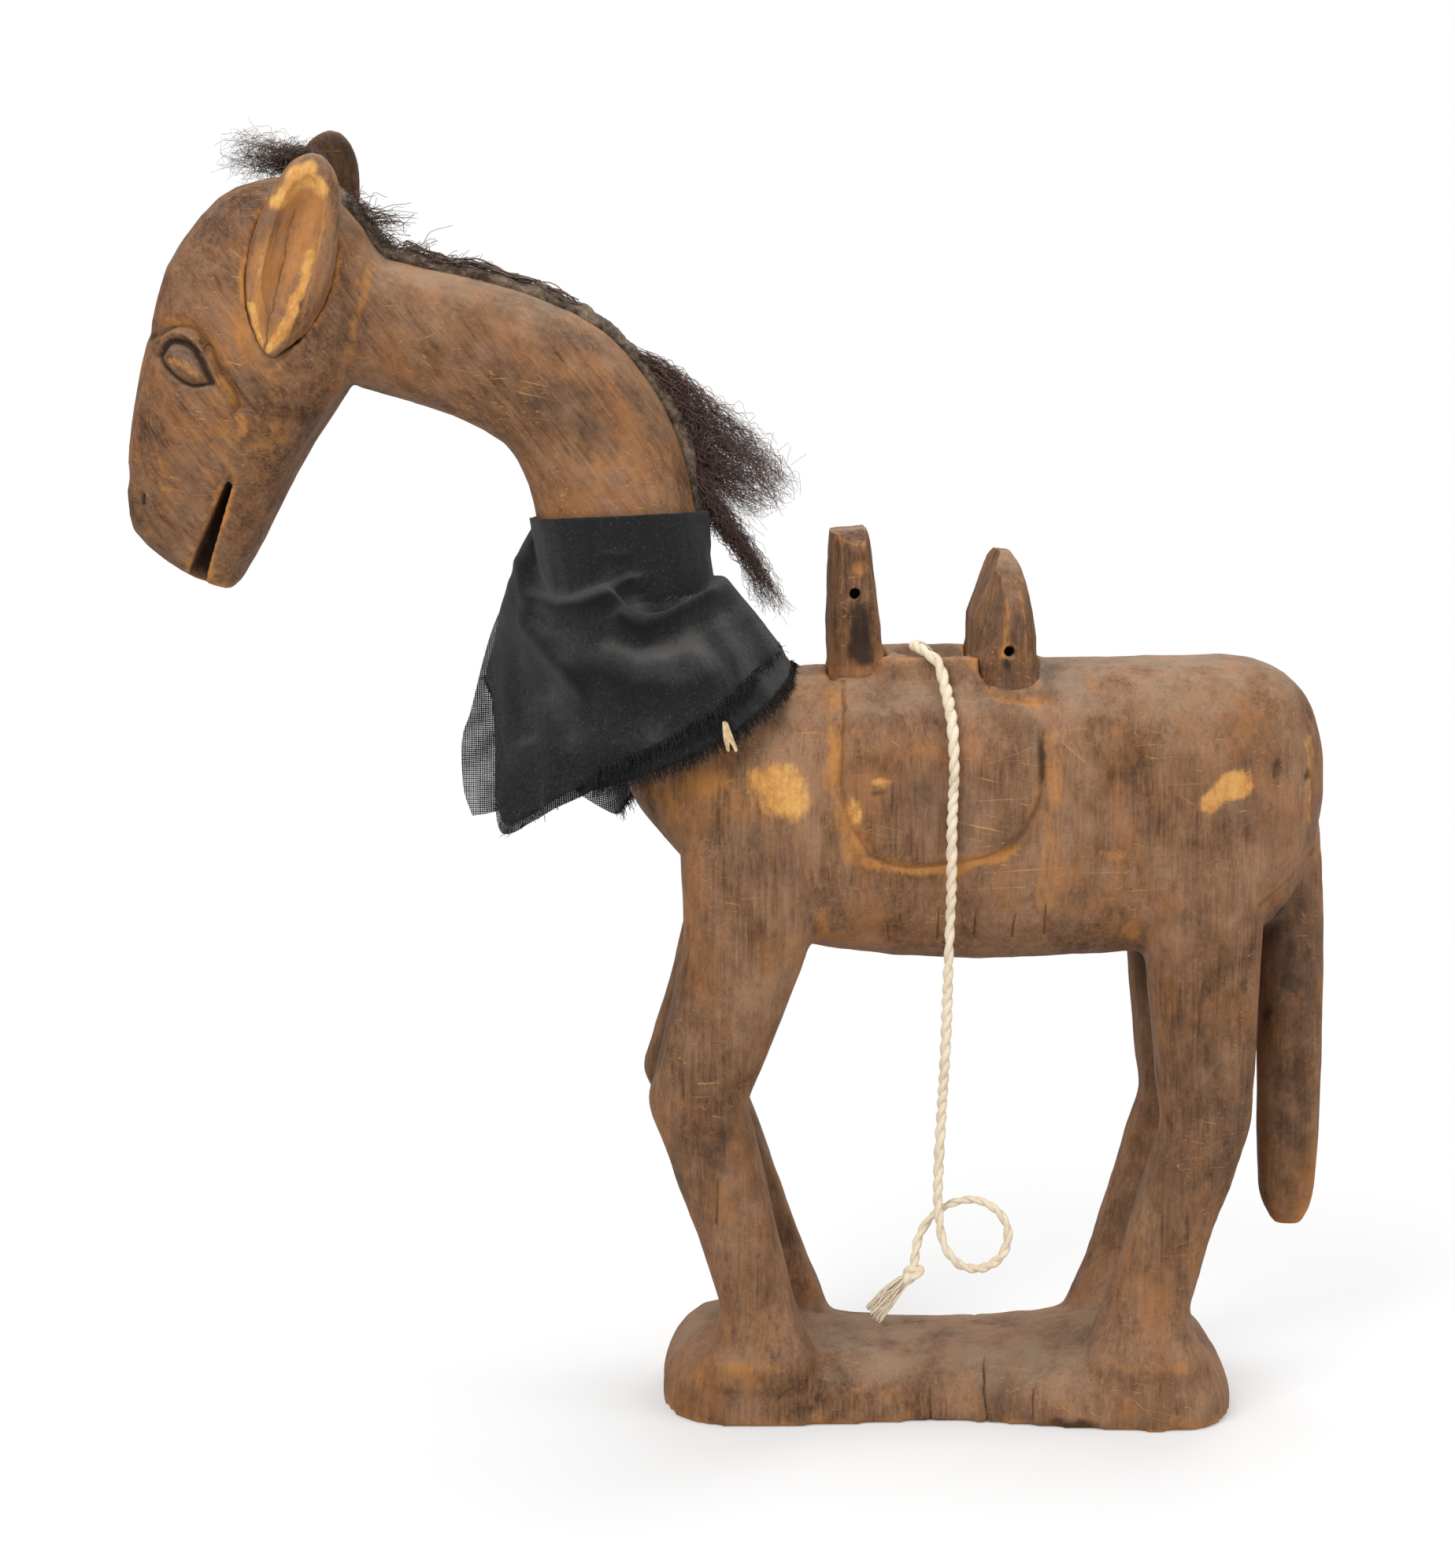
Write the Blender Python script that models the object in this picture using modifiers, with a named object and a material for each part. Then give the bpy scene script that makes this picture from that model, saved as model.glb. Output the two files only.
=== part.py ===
"""Carved wooden horse: saddled, standing on its own plinth, with a hide mane, a scarf and a tie cord.

Metres, +Z up. The horse looks along -X, its left side faces -Y, and the origin is the middle of
the plinth's underside. Most sections are lofts: a station is a front or upper point and a rear or
lower point in the XZ plane, with a half width across Y.
"""
import math

import bmesh
import bpy
import numpy as np
from mathutils import Matrix, Vector
from mathutils.bvhtree import BVHTree

MM = 0.001
CLEARANCE = 0.3 * MM

# Trunk of the log
CHEST_X = -147 * MM
BODY_LENGTH = 315 * MM
BODY_WIDTH = 114 * MM
BELLY_HEIGHT = 208 * MM
BODY_DEPTH = 138 * MM

# Legs, feet and plinth
LEG_TRACK = 68 * MM
SHOULDER_SETBACK = 55 * MM
SHOULDER_LENGTH = 58 * MM
FORELEG_WIDTH = 44 * MM
KNEE_HEIGHT = 146 * MM
KNEE_LENGTH = 46 * MM
KNEE_FORWARD = 22 * MM
FORE_PASTERN_LENGTH = 35 * MM
FORE_FOOT_BACK = 5 * MM
FAR_KNEE_FORWARD = 4 * MM
FAR_FOOT_BACK = 8 * MM
HIP_INSET = 56 * MM
HIP_LENGTH = 53 * MM
HINDLEG_WIDTH = 44 * MM
HOCK_HEIGHT = 136 * MM
HOCK_LENGTH = 41 * MM
HOCK_BACK = 3 * MM
HIND_PASTERN_LENGTH = 39 * MM
HIND_FOOT_FORWARD = 22 * MM
PASTERN_RISE = 14 * MM
FOOT_FLARE = 9 * MM
PLINTH_THICKNESS = 29 * MM
FOOT_MOUND = 9 * MM
PLINTH_FORE_WIDTH = 106 * MM
PLINTH_WAIST_WIDTH = 90 * MM
PLINTH_HIND_WIDTH = 118 * MM
TOE_MARGIN = 44 * MM
HEEL_MARGIN = 42 * MM

# Tail
TAIL_LENGTH = 226 * MM
TAIL_DEPTH = 30 * MM
TAIL_WIDTH = 27 * MM
TAIL_PROUD = 6 * MM

# Neck and head
NECK_SEAT_BACK = 2 * MM
NECK_SEAT_RISE = 25 * MM
NECK_REACH = 112 * MM
NECK_RISE = 123 * MM
NECK_ROOT_DEPTH = 71 * MM
NECK_MIDDLE_DEPTH = 74 * MM
NECK_POLL_DEPTH = 59 * MM
NECK_WIDTH = 66 * MM
HEAD_LENGTH = 184 * MM
HEAD_DEPTH = 99 * MM
HEAD_WIDTH = 84 * MM
HEAD_TILT = math.radians(18.7)
HEAD_FORWARD = 33 * MM
HEAD_ABOVE = 64 * MM
MOUTH_LENGTH = 58 * MM
MOUTH_GAPE = 9 * MM
MOUTH_INNER_GAPE = 2 * MM
MOUTH_WEB = 16 * MM
EYE_LENGTH = 29 * MM
EYE_HEIGHT = 16 * MM
EYE_GROOVE = 2.2 * MM
EYE_DEPTH = 4.5 * MM
EYE_PROUD = 0.8 * MM
NOSTRIL_LENGTH = 7 * MM
TENON_DEPTH = 30 * MM
TENON_WIDTH = 26 * MM
TENON_LENGTH = 46 * MM
PEG_DIAMETER = 9 * MM

# Ears
EAR_LENGTH = 89 * MM
EAR_WIDTH = 37 * MM
EAR_THICKNESS = 17 * MM
EAR_HOLLOW = 8.5 * MM
EAR_TILT = math.radians(13)
EAR_SPREAD = 82 * MM
EAR_LEAN = 10 * MM
FAR_EAR_RAISE = 15 * MM

# Saddle
SADDLE_SETBACK = 95 * MM
SADDLE_LENGTH = 90 * MM
FLAP_DROP = 90 * MM
FLAP_RELIEF = 3 * MM
FLAP_FRONT_RADIUS = 30 * MM
FLAP_REAR_RADIUS = 46 * MM
SEAT_LENGTH = 39 * MM
SEAT_WIDTH = 80 * MM
SEAT_HOLLOW = 11 * MM
BOW_SINK = 14 * MM
POMMEL_HEIGHT = 59 * MM
POMMEL_LENGTH = 25 * MM
POMMEL_WIDTH = 64 * MM
POMMEL_LEAN = -4 * MM
CANTLE_HEIGHT = 48 * MM
CANTLE_LENGTH = 29 * MM
CANTLE_WIDTH = 86 * MM
CANTLE_LEAN = -3 * MM
BOW_HOLE_DIAMETER = 5 * MM
CORD_HOLE_DIAMETER = 8 * MM

# Mane of hide and hair
STRIP_WIDTH = 9 * MM
STRIP_DEPTH = 5 * MM
STRIP_PROUD = 4 * MM
FORELOCK_LENGTH = 38 * MM
FORELOCK_THICKNESS = 12 * MM
NAPE_TUFT_THICKNESS = 7 * MM
LOCK_REACH = 44 * MM
LOCK_DROP = 27 * MM
LOCK_THICKNESS = 17 * MM
LOCK_TAIL_REACH = 36 * MM
LOCK_TAIL_DROP = 55 * MM
LOCK_TAIL_THICKNESS = 9 * MM

# Scarf
SCARF_THICKNESS = 1.2 * MM
SCARF_EASE = 2.5 * MM
SCARF_HEM_RISE = 39 * MM
SCARF_FRONT_REACH = 76 * MM
SCARF_SIDE_REACH = 60 * MM
SCARF_REAR_REACH = 78 * MM
SCARF_CORNER_DROP = 148 * MM
SCARF_SIDE_DROP = 112 * MM
SCARF_REAR_DROP = 70 * MM
FOLD_HEIGHT = 6 * MM
PIN_LENGTH = 13 * MM
PIN_WIDTH = 4 * MM
PIN_THICKNESS = 1.4 * MM
PIN_BACK = 45 * MM
PIN_DROP = 82 * MM

# Cord
CORD_DIAMETER = 5.5 * MM
KNOT_DIAMETER = 11 * MM
TASSEL_LENGTH = 22 * MM

LOFT_SIDES = 20

BACK_HEIGHT = BELLY_HEIGHT + BODY_DEPTH
RUMP_X = CHEST_X + BODY_LENGTH
FORELEG_X = CHEST_X + SHOULDER_SETBACK
HINDLEG_X = RUMP_X - HIP_INSET
FORE_FOOT_X = FORELEG_X + FORE_FOOT_BACK
HIND_FOOT_X = HINDLEG_X - HIND_FOOT_FORWARD
SADDLE_FRONT_X = CHEST_X + SADDLE_SETBACK
SADDLE_REAR_X = SADDLE_FRONT_X + SADDLE_LENGTH
NECK_SEAT = Vector((CHEST_X + NECK_SEAT_BACK, 0, BACK_HEIGHT + NECK_SEAT_RISE))


def clear_scene():
    for thing in list(bpy.data.objects):
        bpy.data.objects.remove(thing, do_unlink=True)


def collection(name):
    made = bpy.data.collections.new(name)
    bpy.context.scene.collection.children.link(made)
    return made


def material(name, colour, roughness):
    made = bpy.data.materials.new(name)
    made.use_nodes = True
    shader = made.node_tree.nodes["Principled BSDF"]
    shader.inputs["Base Color"].default_value = (*colour, 1)
    shader.inputs["Roughness"].default_value = roughness
    shader.inputs["Metallic"].default_value = 0
    return made


def mesh_object(name, mesh):
    made = bpy.data.objects.new(name, mesh)
    CUTTERS.objects.link(made)
    made.hide_render = True
    made.display_type = "WIRE"
    return made


def finish_part(made, finish):
    """Move a built solid from the cutters to the parts and give it its material."""
    CUTTERS.objects.unlink(made)
    PARTS.objects.link(made)
    made.hide_render = False
    made.display_type = "TEXTURED"
    made.data.materials.append(finish)
    made.data.shade_smooth()
    made.data.set_sharp_from_angle(angle=math.radians(35))
    return made


def combine(target, tool, operation):
    step = target.modifiers.new(operation.title() + "_" + tool.name, "BOOLEAN")
    step.operation = operation
    step.solver = "EXACT"
    step.object = tool


def join(target, *tools):
    for tool in tools:
        combine(target, tool, "UNION")


def cut(target, *tools):
    for tool in tools:
        combine(target, tool, "DIFFERENCE")


def smooth_rows(rows, steps):
    """Rows of numbers on a smooth curve through the given rows."""
    rows = np.array(rows, dtype=float)
    padded = np.vstack([2 * rows[0] - rows[1], rows, 2 * rows[-1] - rows[-2]])
    spread = []
    for a, b, c, d in zip(padded, padded[1:], padded[2:], padded[3:]):
        for t in np.arange(steps) / steps:
            bend = (2 * a - 5 * b + 4 * c - d) * t * t + (3 * b - a - 3 * c + d) * t ** 3
            spread.append(0.5 * (2 * b + (c - a) * t + bend))
    spread.append(rows[-1])
    return np.array(spread)


def station(upper, lower, half_width, y=0.0):
    """One loft row: two points in the XZ plane, a half width and a place across Y."""
    return (*upper, *lower, half_width, y)


def mix(a, b, share):
    return tuple(p + (q - p) * share for p, q in zip(a, b))


def section_points(row, squareness, sides):
    upper = Vector((row[0], row[5], row[1]))
    lower = Vector((row[2], row[5], row[3]))
    centre = (upper + lower) / 2
    tall = (upper - lower) / 2
    wide = Vector((0, row[4], 0))
    points = []
    for turn in range(sides):
        angle = 2 * math.pi * turn / sides
        up = math.copysign(abs(math.cos(angle)) ** (2 / squareness), math.cos(angle))
        across = math.copysign(abs(math.sin(angle)) ** (2 / squareness), math.sin(angle))
        points.append(centre + tall * up + wide * across)
    return points


def skin_rings(name, rings):
    """A closed solid through rings of points, with a flat cap at each end."""
    shape = bmesh.new()
    placed = [[shape.verts.new(point) for point in ring] for ring in rings]
    for ring, following in zip(placed, placed[1:]):
        for i in range(len(ring)):
            j = (i + 1) % len(ring)
            shape.faces.new((ring[i], ring[j], following[j], following[i]))
    shape.faces.new(placed[0])
    shape.faces.new(placed[-1])
    bmesh.ops.recalc_face_normals(shape, faces=shape.faces)
    mesh = bpy.data.meshes.new(name)
    shape.to_mesh(mesh)
    shape.free()
    return mesh_object(name, mesh)


def loft(name, rows, steps=2, squareness=2.4, sides=LOFT_SIDES, floor=False):
    rings = [section_points(row, squareness, sides) for row in smooth_rows(rows, steps)]
    if floor:
        rings = [[Vector((p.x, p.y, max(p.z, 0.0))) for p in ring] for ring in rings]
    return skin_rings(name, rings)


def ellipsoid(name, centre, radii, segments=16):
    shape = bmesh.new()
    place = Matrix.Translation(centre) @ Matrix.Diagonal((*radii, 1))
    bmesh.ops.create_uvsphere(shape, u_segments=segments, v_segments=segments // 2, radius=1, matrix=place)
    mesh = bpy.data.meshes.new(name)
    shape.to_mesh(mesh)
    shape.free()
    return mesh_object(name, mesh)


def rod(name, start, end, diameter, sides=16):
    """A plain cylinder from one point to another."""
    along = Vector(end) - Vector(start)
    turn = along.to_track_quat("Z", "Y").to_matrix().to_4x4()
    place = Matrix.Translation((Vector(start) + Vector(end)) / 2) @ turn
    shape = bmesh.new()
    bmesh.ops.create_cone(shape, cap_ends=True, segments=sides, radius1=diameter / 2,
                          radius2=diameter / 2, depth=along.length, matrix=place)
    mesh = bpy.data.meshes.new(name)
    shape.to_mesh(mesh)
    shape.free()
    return mesh_object(name, mesh)


def block(name, place, size):
    shape = bmesh.new()
    bmesh.ops.create_cube(shape, size=1, matrix=place @ Matrix.Diagonal((*size, 1)))
    mesh = bpy.data.meshes.new(name)
    shape.to_mesh(mesh)
    shape.free()
    return mesh_object(name, mesh)


def outline_prism(name, outline, half_length, place):
    """A flat filled outline, extruded both ways from its plane and placed."""
    curve = bpy.data.curves.new(name + "_outline", "CURVE")
    curve.dimensions = "2D"
    curve.fill_mode = "BOTH"
    curve.extrude = half_length
    line = curve.splines.new("POLY")
    line.points.add(len(outline) - 1)
    for point, (x, y) in zip(line.points, outline):
        point.co = (x, y, 0, 1)
    line.use_cyclic_u = True
    drawn = bpy.data.objects.new(name + "_outline", curve)
    CUTTERS.objects.link(drawn)
    bpy.context.view_layer.update()
    mesh = bpy.data.meshes.new_from_object(drawn.evaluated_get(bpy.context.evaluated_depsgraph_get()))
    bpy.data.objects.remove(drawn, do_unlink=True)
    shape = bmesh.new()
    shape.from_mesh(mesh)
    bmesh.ops.remove_doubles(shape, verts=shape.verts, dist=1e-6)
    bmesh.ops.transform(shape, matrix=place, verts=shape.verts)
    bmesh.ops.recalc_face_normals(shape, faces=shape.faces)
    shape.to_mesh(mesh)
    shape.free()
    return mesh_object(name, mesh)


def torso_rows(grow=0.0):
    """Trunk sections from chest to rump: place along, drop of the back, rise of the belly, width."""
    shape = (
        (0.000, 44, 80, 0.20), (0.020, 30, 68, 0.46), (0.055, 20, 55, 0.70), (0.110, 12, 38, 0.86),
        (0.190, 8, 16, 0.93), (0.300, 4, 4, 0.98), (0.500, 2, 0, 1.00), (0.680, 1, 2, 0.99),
        (0.820, 0, 6, 0.95), (0.900, 1, 10, 0.89), (0.950, 8, 25, 0.76), (0.983, 21, 46, 0.54),
        (1.000, 38, 66, 0.30))
    rows = []
    for share, drop, rise, width in shape:
        x = CHEST_X + share * BODY_LENGTH
        top = BACK_HEIGHT - drop * MM + grow
        low = BELLY_HEIGHT + rise * MM - grow
        rows.append(station((x, top), (x, low), width * BODY_WIDTH / 2 + grow))
    return rows


def leg_rows(side, top_x, top_length, bend, foot_x, pastern_length, width):
    """Leg sections, from inside the trunk down into the plinth. bend is (x, height, length)."""
    y = side * LEG_TRACK / 2
    bend_x, bend_height, bend_length = bend

    def level(x, z, length, half):
        return station((x - length / 2, z), (x + length / 2, z), half, y)

    pastern_z = PLINTH_THICKNESS + FOOT_MOUND + PASTERN_RISE
    top = level(top_x, BELLY_HEIGHT + 50 * MM, top_length * 1.04, width * 0.47)
    shoulder = level(top_x, BELLY_HEIGHT + 14 * MM, top_length, width / 2)
    knee = level(bend_x, bend_height, bend_length, width * 0.43)
    pastern = level(foot_x, pastern_z, pastern_length, width * 0.38)
    root = level(top_x, BELLY_HEIGHT + 88 * MM, top_length * 0.7, width * 0.25)
    hoof = level(foot_x, PLINTH_THICKNESS, pastern_length + 2 * FOOT_FLARE, width * 0.38 + FOOT_FLARE)
    buried = level(foot_x, PLINTH_THICKNESS / 3, pastern_length + 2 * FOOT_FLARE, width * 0.38)
    calf = mix(knee, pastern, 0.22)
    return [root, top, shoulder, mix(shoulder, knee, 0.8), knee, calf, pastern, hoof, buried]


def make_leg(name, side, fore):
    far = 1 if side > 0 else 0
    if fore:
        bend = (FORELEG_X - KNEE_FORWARD - far * FAR_KNEE_FORWARD, KNEE_HEIGHT, KNEE_LENGTH)
        rows = leg_rows(side, FORELEG_X, SHOULDER_LENGTH, bend, FORE_FOOT_X + far * FAR_FOOT_BACK,
                        FORE_PASTERN_LENGTH, FORELEG_WIDTH)
    else:
        bend = (HINDLEG_X + HOCK_BACK, HOCK_HEIGHT, HOCK_LENGTH)
        rows = leg_rows(side, HINDLEG_X, HIP_LENGTH, bend, HIND_FOOT_X, HIND_PASTERN_LENGTH, HINDLEG_WIDTH)
    return loft(name, rows, squareness=2.6, sides=16)


def make_plinth():
    """Dog-bone base: rounded ends, a mound under each pair of feet and a waist between them."""
    front = FORE_FOOT_X - TOE_MARGIN
    rear = HIND_FOOT_X + HEEL_MARGIN
    mound = PLINTH_THICKNESS + FOOT_MOUND
    middle = (FORE_FOOT_X + HIND_FOOT_X) / 2
    rows = []
    for x, top, width in (
            (front, 0.3 * mound, 0.34 * PLINTH_FORE_WIDTH),
            (front + 0.12 * TOE_MARGIN, 0.62 * mound, 0.68 * PLINTH_FORE_WIDTH),
            (front + 0.42 * TOE_MARGIN, 0.92 * mound, 0.92 * PLINTH_FORE_WIDTH),
            (FORE_FOOT_X, mound, PLINTH_FORE_WIDTH),
            (FORE_FOOT_X * 0.5 + middle * 0.5, PLINTH_THICKNESS + 1 * MM, 0.93 * PLINTH_FORE_WIDTH),
            (middle, PLINTH_THICKNESS, PLINTH_WAIST_WIDTH),
            (HIND_FOOT_X * 0.5 + middle * 0.5, PLINTH_THICKNESS + 1 * MM, 0.90 * PLINTH_HIND_WIDTH),
            (HIND_FOOT_X, mound, PLINTH_HIND_WIDTH),
            (rear - 0.42 * HEEL_MARGIN, 0.90 * mound, 0.94 * PLINTH_HIND_WIDTH),
            (rear - 0.12 * HEEL_MARGIN, 0.56 * mound, 0.68 * PLINTH_HIND_WIDTH),
            (rear, 0.25 * mound, 0.34 * PLINTH_HIND_WIDTH)):
        rows.append(station((x, top), (x, -top), width / 2))
    return loft("plinth_block", rows, squareness=3.0, sides=24, floor=True)


def make_tail():
    """Tail board: it leaves the rump, hangs straight and ends in a rounded tongue."""
    rear = RUMP_X + TAIL_PROUD
    top = BACK_HEIGHT - 40 * MM
    rows = []
    for share, front_cut, rear_cut, width in (
            (0.00, 0.10, 0.50, 0.60), (0.16, 0.00, 0.16, 0.90), (0.33, 0.00, 0.04, 1.00),
            (0.62, 0.00, 0.00, 1.00),
            (0.86, 0.04, 0.04, 0.92), (0.95, 0.12, 0.10, 0.72), (1.00, 0.34, 0.26, 0.36)):
        z = top - share * TAIL_LENGTH
        front = rear - TAIL_DEPTH * (1 - front_cut)
        rows.append(station((front, z), (rear - TAIL_DEPTH * rear_cut, z), width * TAIL_WIDTH / 2))
    return loft("tail_board", rows, squareness=3.0, sides=14)


def neck_rows():
    """Neck sections from the seat on the chest to the poll: reach, rise, slant and depth of each."""
    shape = (
        (0.00, 0.00, 6, 0.0), (0.05, 0.29, 11, 0.5), (0.09, 0.46, 27, 1.0), (0.16, 0.60, 43, 1.0),
        (0.26, 0.72, 60, 1.0), (0.42, 0.83, 75, 1.45), (0.66, 0.92, 79, 1.8), (1.00, 1.00, 81, 2.0))
    rows = []
    for reach, rise, slant, swell in shape:
        if swell <= 1:
            depth = NECK_ROOT_DEPTH + swell * (NECK_MIDDLE_DEPTH - NECK_ROOT_DEPTH)
        else:
            depth = NECK_MIDDLE_DEPTH + (swell - 1) * (NECK_POLL_DEPTH - NECK_MIDDLE_DEPTH)
        across = Vector((math.cos(math.radians(slant)), 0, math.sin(math.radians(slant)))) * depth / 2
        centre = NECK_SEAT + Vector((-reach * NECK_REACH, 0, rise * NECK_RISE))
        upper = centre + across
        lower = centre - across
        width = NECK_WIDTH * (1.0 if swell <= 1 else 1.0 - 0.06 * (swell - 1))
        rows.append(station((upper.x, upper.z), (lower.x, lower.z), width / 2))
    return rows


def stump_rows():
    """The chest rises to the neck's seat: from the seat section down into the trunk."""
    seat = neck_rows()[0]
    flare = station((seat[0] + 12 * MM, seat[1] - 19 * MM), (seat[2] + 9 * MM, seat[3] - 30 * MM),
                    NECK_WIDTH / 2 + 6 * MM)
    spread = station((seat[0] + 30 * MM, seat[1] - 45 * MM), (seat[2] + 28 * MM, seat[3] - 68 * MM),
                     NECK_WIDTH / 2 + 10 * MM)
    inner = station((seat[0] + 38 * MM, seat[1] - 66 * MM), (seat[2] + 48 * MM, seat[3] - 86 * MM),
                    NECK_WIDTH / 2 + 4 * MM)
    return [seat, flare, spread, inner]


def head_point(along, outward):
    """A point in the head's own side view: along from poll to muzzle, outward towards the brow."""
    poll = NECK_SEAT + Vector((-NECK_REACH - HEAD_FORWARD, 0, NECK_RISE + HEAD_ABOVE))
    axis = Vector((-math.sin(HEAD_TILT), 0, -math.cos(HEAD_TILT)))
    brow = Vector((-math.cos(HEAD_TILT), 0, math.sin(HEAD_TILT)))
    point = poll + axis * along + brow * outward
    return (point.x, point.z)


def head_rows():
    """Wedge of the head: share of length, brow and jaw as shares of depth, share of width."""
    shape = (
        (0.015, 0.11, -0.18, 0.26), (0.07, 0.26, -0.35, 0.70), (0.16, 0.37, -0.46, 0.90),
        (0.31, 0.45, -0.55, 1.00),
        (0.46, 0.435, -0.475, 1.00), (0.60, 0.415, -0.405, 0.93), (0.74, 0.375, -0.355, 0.80),
        (0.86, 0.315, -0.325, 0.68), (0.935, 0.245, -0.295, 0.58), (0.975, 0.10, -0.275, 0.46),
        (1.00, -0.07, -0.245, 0.30))
    rows = []
    for share, brow, jaw, width in shape:
        along = share * HEAD_LENGTH
        rows.append(station(head_point(along, brow * HEAD_DEPTH), head_point(along, jaw * HEAD_DEPTH),
                            width * HEAD_WIDTH / 2))
    return rows


def poll_rows():
    """The neck's way into the head: it rises to the poll, widens and ends inside the skull."""
    rows = []
    for top, nape, low, throat in ((0.085, -0.375, 0.43, -0.51), (0.10, -0.16, 0.40, -0.25)):
        rows.append(station(head_point(top * HEAD_LENGTH, nape * HEAD_DEPTH),
                            head_point(low * HEAD_LENGTH, throat * HEAD_DEPTH), 0.40 * HEAD_WIDTH))
    return rows


def leaf_rows(base, length, width, thickness, y_base, y_tip):
    """A leaf standing on its point: used for the ears, their hollows and their pockets."""
    shape = ((0.0, 0.06), (0.12, 0.58), (0.30, 0.93), (0.48, 1.0), (0.70, 0.92), (0.87, 0.72), (0.96, 0.44),
             (1.0, 0.14))
    axis = Vector((math.sin(EAR_TILT), 0, math.cos(EAR_TILT)))
    side = Vector((math.cos(EAR_TILT), 0, -math.sin(EAR_TILT)))
    rows = []
    for share, fullness in shape:
        centre = base + axis * length * share
        reach = side * width * fullness / 2
        half = thickness / 2 * (0.35 + 0.65 * fullness)
        left = centre - reach
        right = centre + reach
        rows.append(station((left.x, left.z), (right.x, right.z), half, y_base + (y_tip - y_base) * share))
    return rows


def ear_base(side):
    x, z = head_point(0.42 * HEAD_LENGTH, -0.165 * HEAD_DEPTH)
    return Vector((x, 0, z + (FAR_EAR_RAISE if side > 0 else 0)))


def make_ear(name, side):
    base = ear_base(side)
    y_base = side * EAR_SPREAD / 2
    y_tip = side * (EAR_SPREAD / 2 - EAR_LEAN)
    ear = loft(name, leaf_rows(base, EAR_LENGTH, EAR_WIDTH, EAR_THICKNESS, y_base, y_tip), sides=14)
    inset = Vector((math.sin(EAR_TILT), 0, math.cos(EAR_TILT))) * 0.11 * EAR_LENGTH
    rise = side * (EAR_THICKNESS / 2 + 2 * MM)
    hollow = loft(name + "_hollow", leaf_rows(base + inset, 0.78 * EAR_LENGTH, 0.60 * EAR_WIDTH,
                                              2 * EAR_HOLLOW, y_base + rise, y_tip + rise), sides=12)
    cut(ear, hollow)
    slack = 2 * CLEARANCE
    drop = Vector((math.sin(EAR_TILT), 0, math.cos(EAR_TILT))) * slack
    pocket = loft(name + "_pocket", leaf_rows(base - drop, EAR_LENGTH + 2 * slack, EAR_WIDTH + 2 * slack,
                                              EAR_THICKNESS + 2 * slack, y_base, y_tip), sides=14)
    return ear, pocket


def crest_line():
    """Points and outward directions along the crest, from the poll to the scarf's hem."""
    rows = smooth_rows(neck_rows(), 2)
    points = []
    for row in rows[::-1]:
        upper = Vector((row[0], 0, row[1]))
        lower = Vector((row[2], 0, row[3]))
        points.append((upper, (upper - lower).normalized()))
    poll_x, poll_z = head_point(0.012 * HEAD_LENGTH, -0.14 * HEAD_DEPTH)
    nape_x, nape_z = head_point(0.05 * HEAD_LENGTH, -0.33 * HEAD_DEPTH)
    head_out = Vector((math.sin(HEAD_TILT), 0, math.cos(HEAD_TILT)))
    nape_out = (head_out + points[0][1]).normalized()
    kept = [p for p in points if p[0].z > NECK_SEAT.z + SCARF_HEM_RISE + 2 * MM]
    return [(Vector((poll_x, 0, poll_z)), head_out), (Vector((nape_x, 0, nape_z)), nape_out)] + kept[1:]


def strip_rows(line, proud, depth, width):
    rows = []
    for point, out in line:
        high = point + out * proud
        low = point - out * depth
        rows.append(station((high.x, high.z), (low.x, low.z), width / 2))
    return rows


def tuft(name, points, thicknesses):
    """A tapering lock of hair along points in the XZ plane, with its thickness at each."""
    path = [Vector((x, 0, z)) for x, z in points]
    rows = []
    for i, (point, thickness) in enumerate(zip(path, thicknesses)):
        ahead = path[min(i + 1, len(path) - 1)] - path[max(i - 1, 0)]
        normal = Vector((-ahead.z, 0, ahead.x)).normalized() * thickness / 2
        high = point + normal
        low = point - normal
        rows.append(station((high.x, high.z), (low.x, low.z), thickness / 2))
    return finish_part(loft(name, rows, sides=10), HAIR)


def flap_outline():
    """Saddle flap in side view: straight front and rear edges and two round lower corners."""
    bottom = BACK_HEIGHT - FLAP_DROP
    top = BACK_HEIGHT + 14 * MM
    points = [(SADDLE_REAR_X, top), (SADDLE_FRONT_X, top)]
    for turn in range(9):
        angle = math.pi + turn * math.pi / 16
        points.append((SADDLE_FRONT_X + FLAP_FRONT_RADIUS * (1 + math.cos(angle)),
                       bottom + FLAP_FRONT_RADIUS * (1 + math.sin(angle))))
    for turn in range(9):
        angle = 1.5 * math.pi + turn * math.pi / 16
        points.append((SADDLE_REAR_X - FLAP_REAR_RADIUS * (1 - math.cos(angle)),
                       bottom + FLAP_REAR_RADIUS * (1 + math.sin(angle))))
    return points


def make_flaps():
    """Flaps and saddle top in low relief: the trunk, swollen by the relief, inside the flap outline."""
    upright = Matrix.Rotation(math.pi / 2, 4, "X")
    flaps = outline_prism("saddle_flaps", flap_outline(), BODY_WIDTH, upright)
    swollen = loft("saddle_swell", torso_rows(FLAP_RELIEF), steps=2, squareness=2.8)
    combine(flaps, swollen, "INTERSECT")
    return flaps


def seat_centre():
    return Vector((SADDLE_FRONT_X + POMMEL_LENGTH + SEAT_LENGTH / 2, 0, BACK_HEIGHT + 1 * MM))


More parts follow.
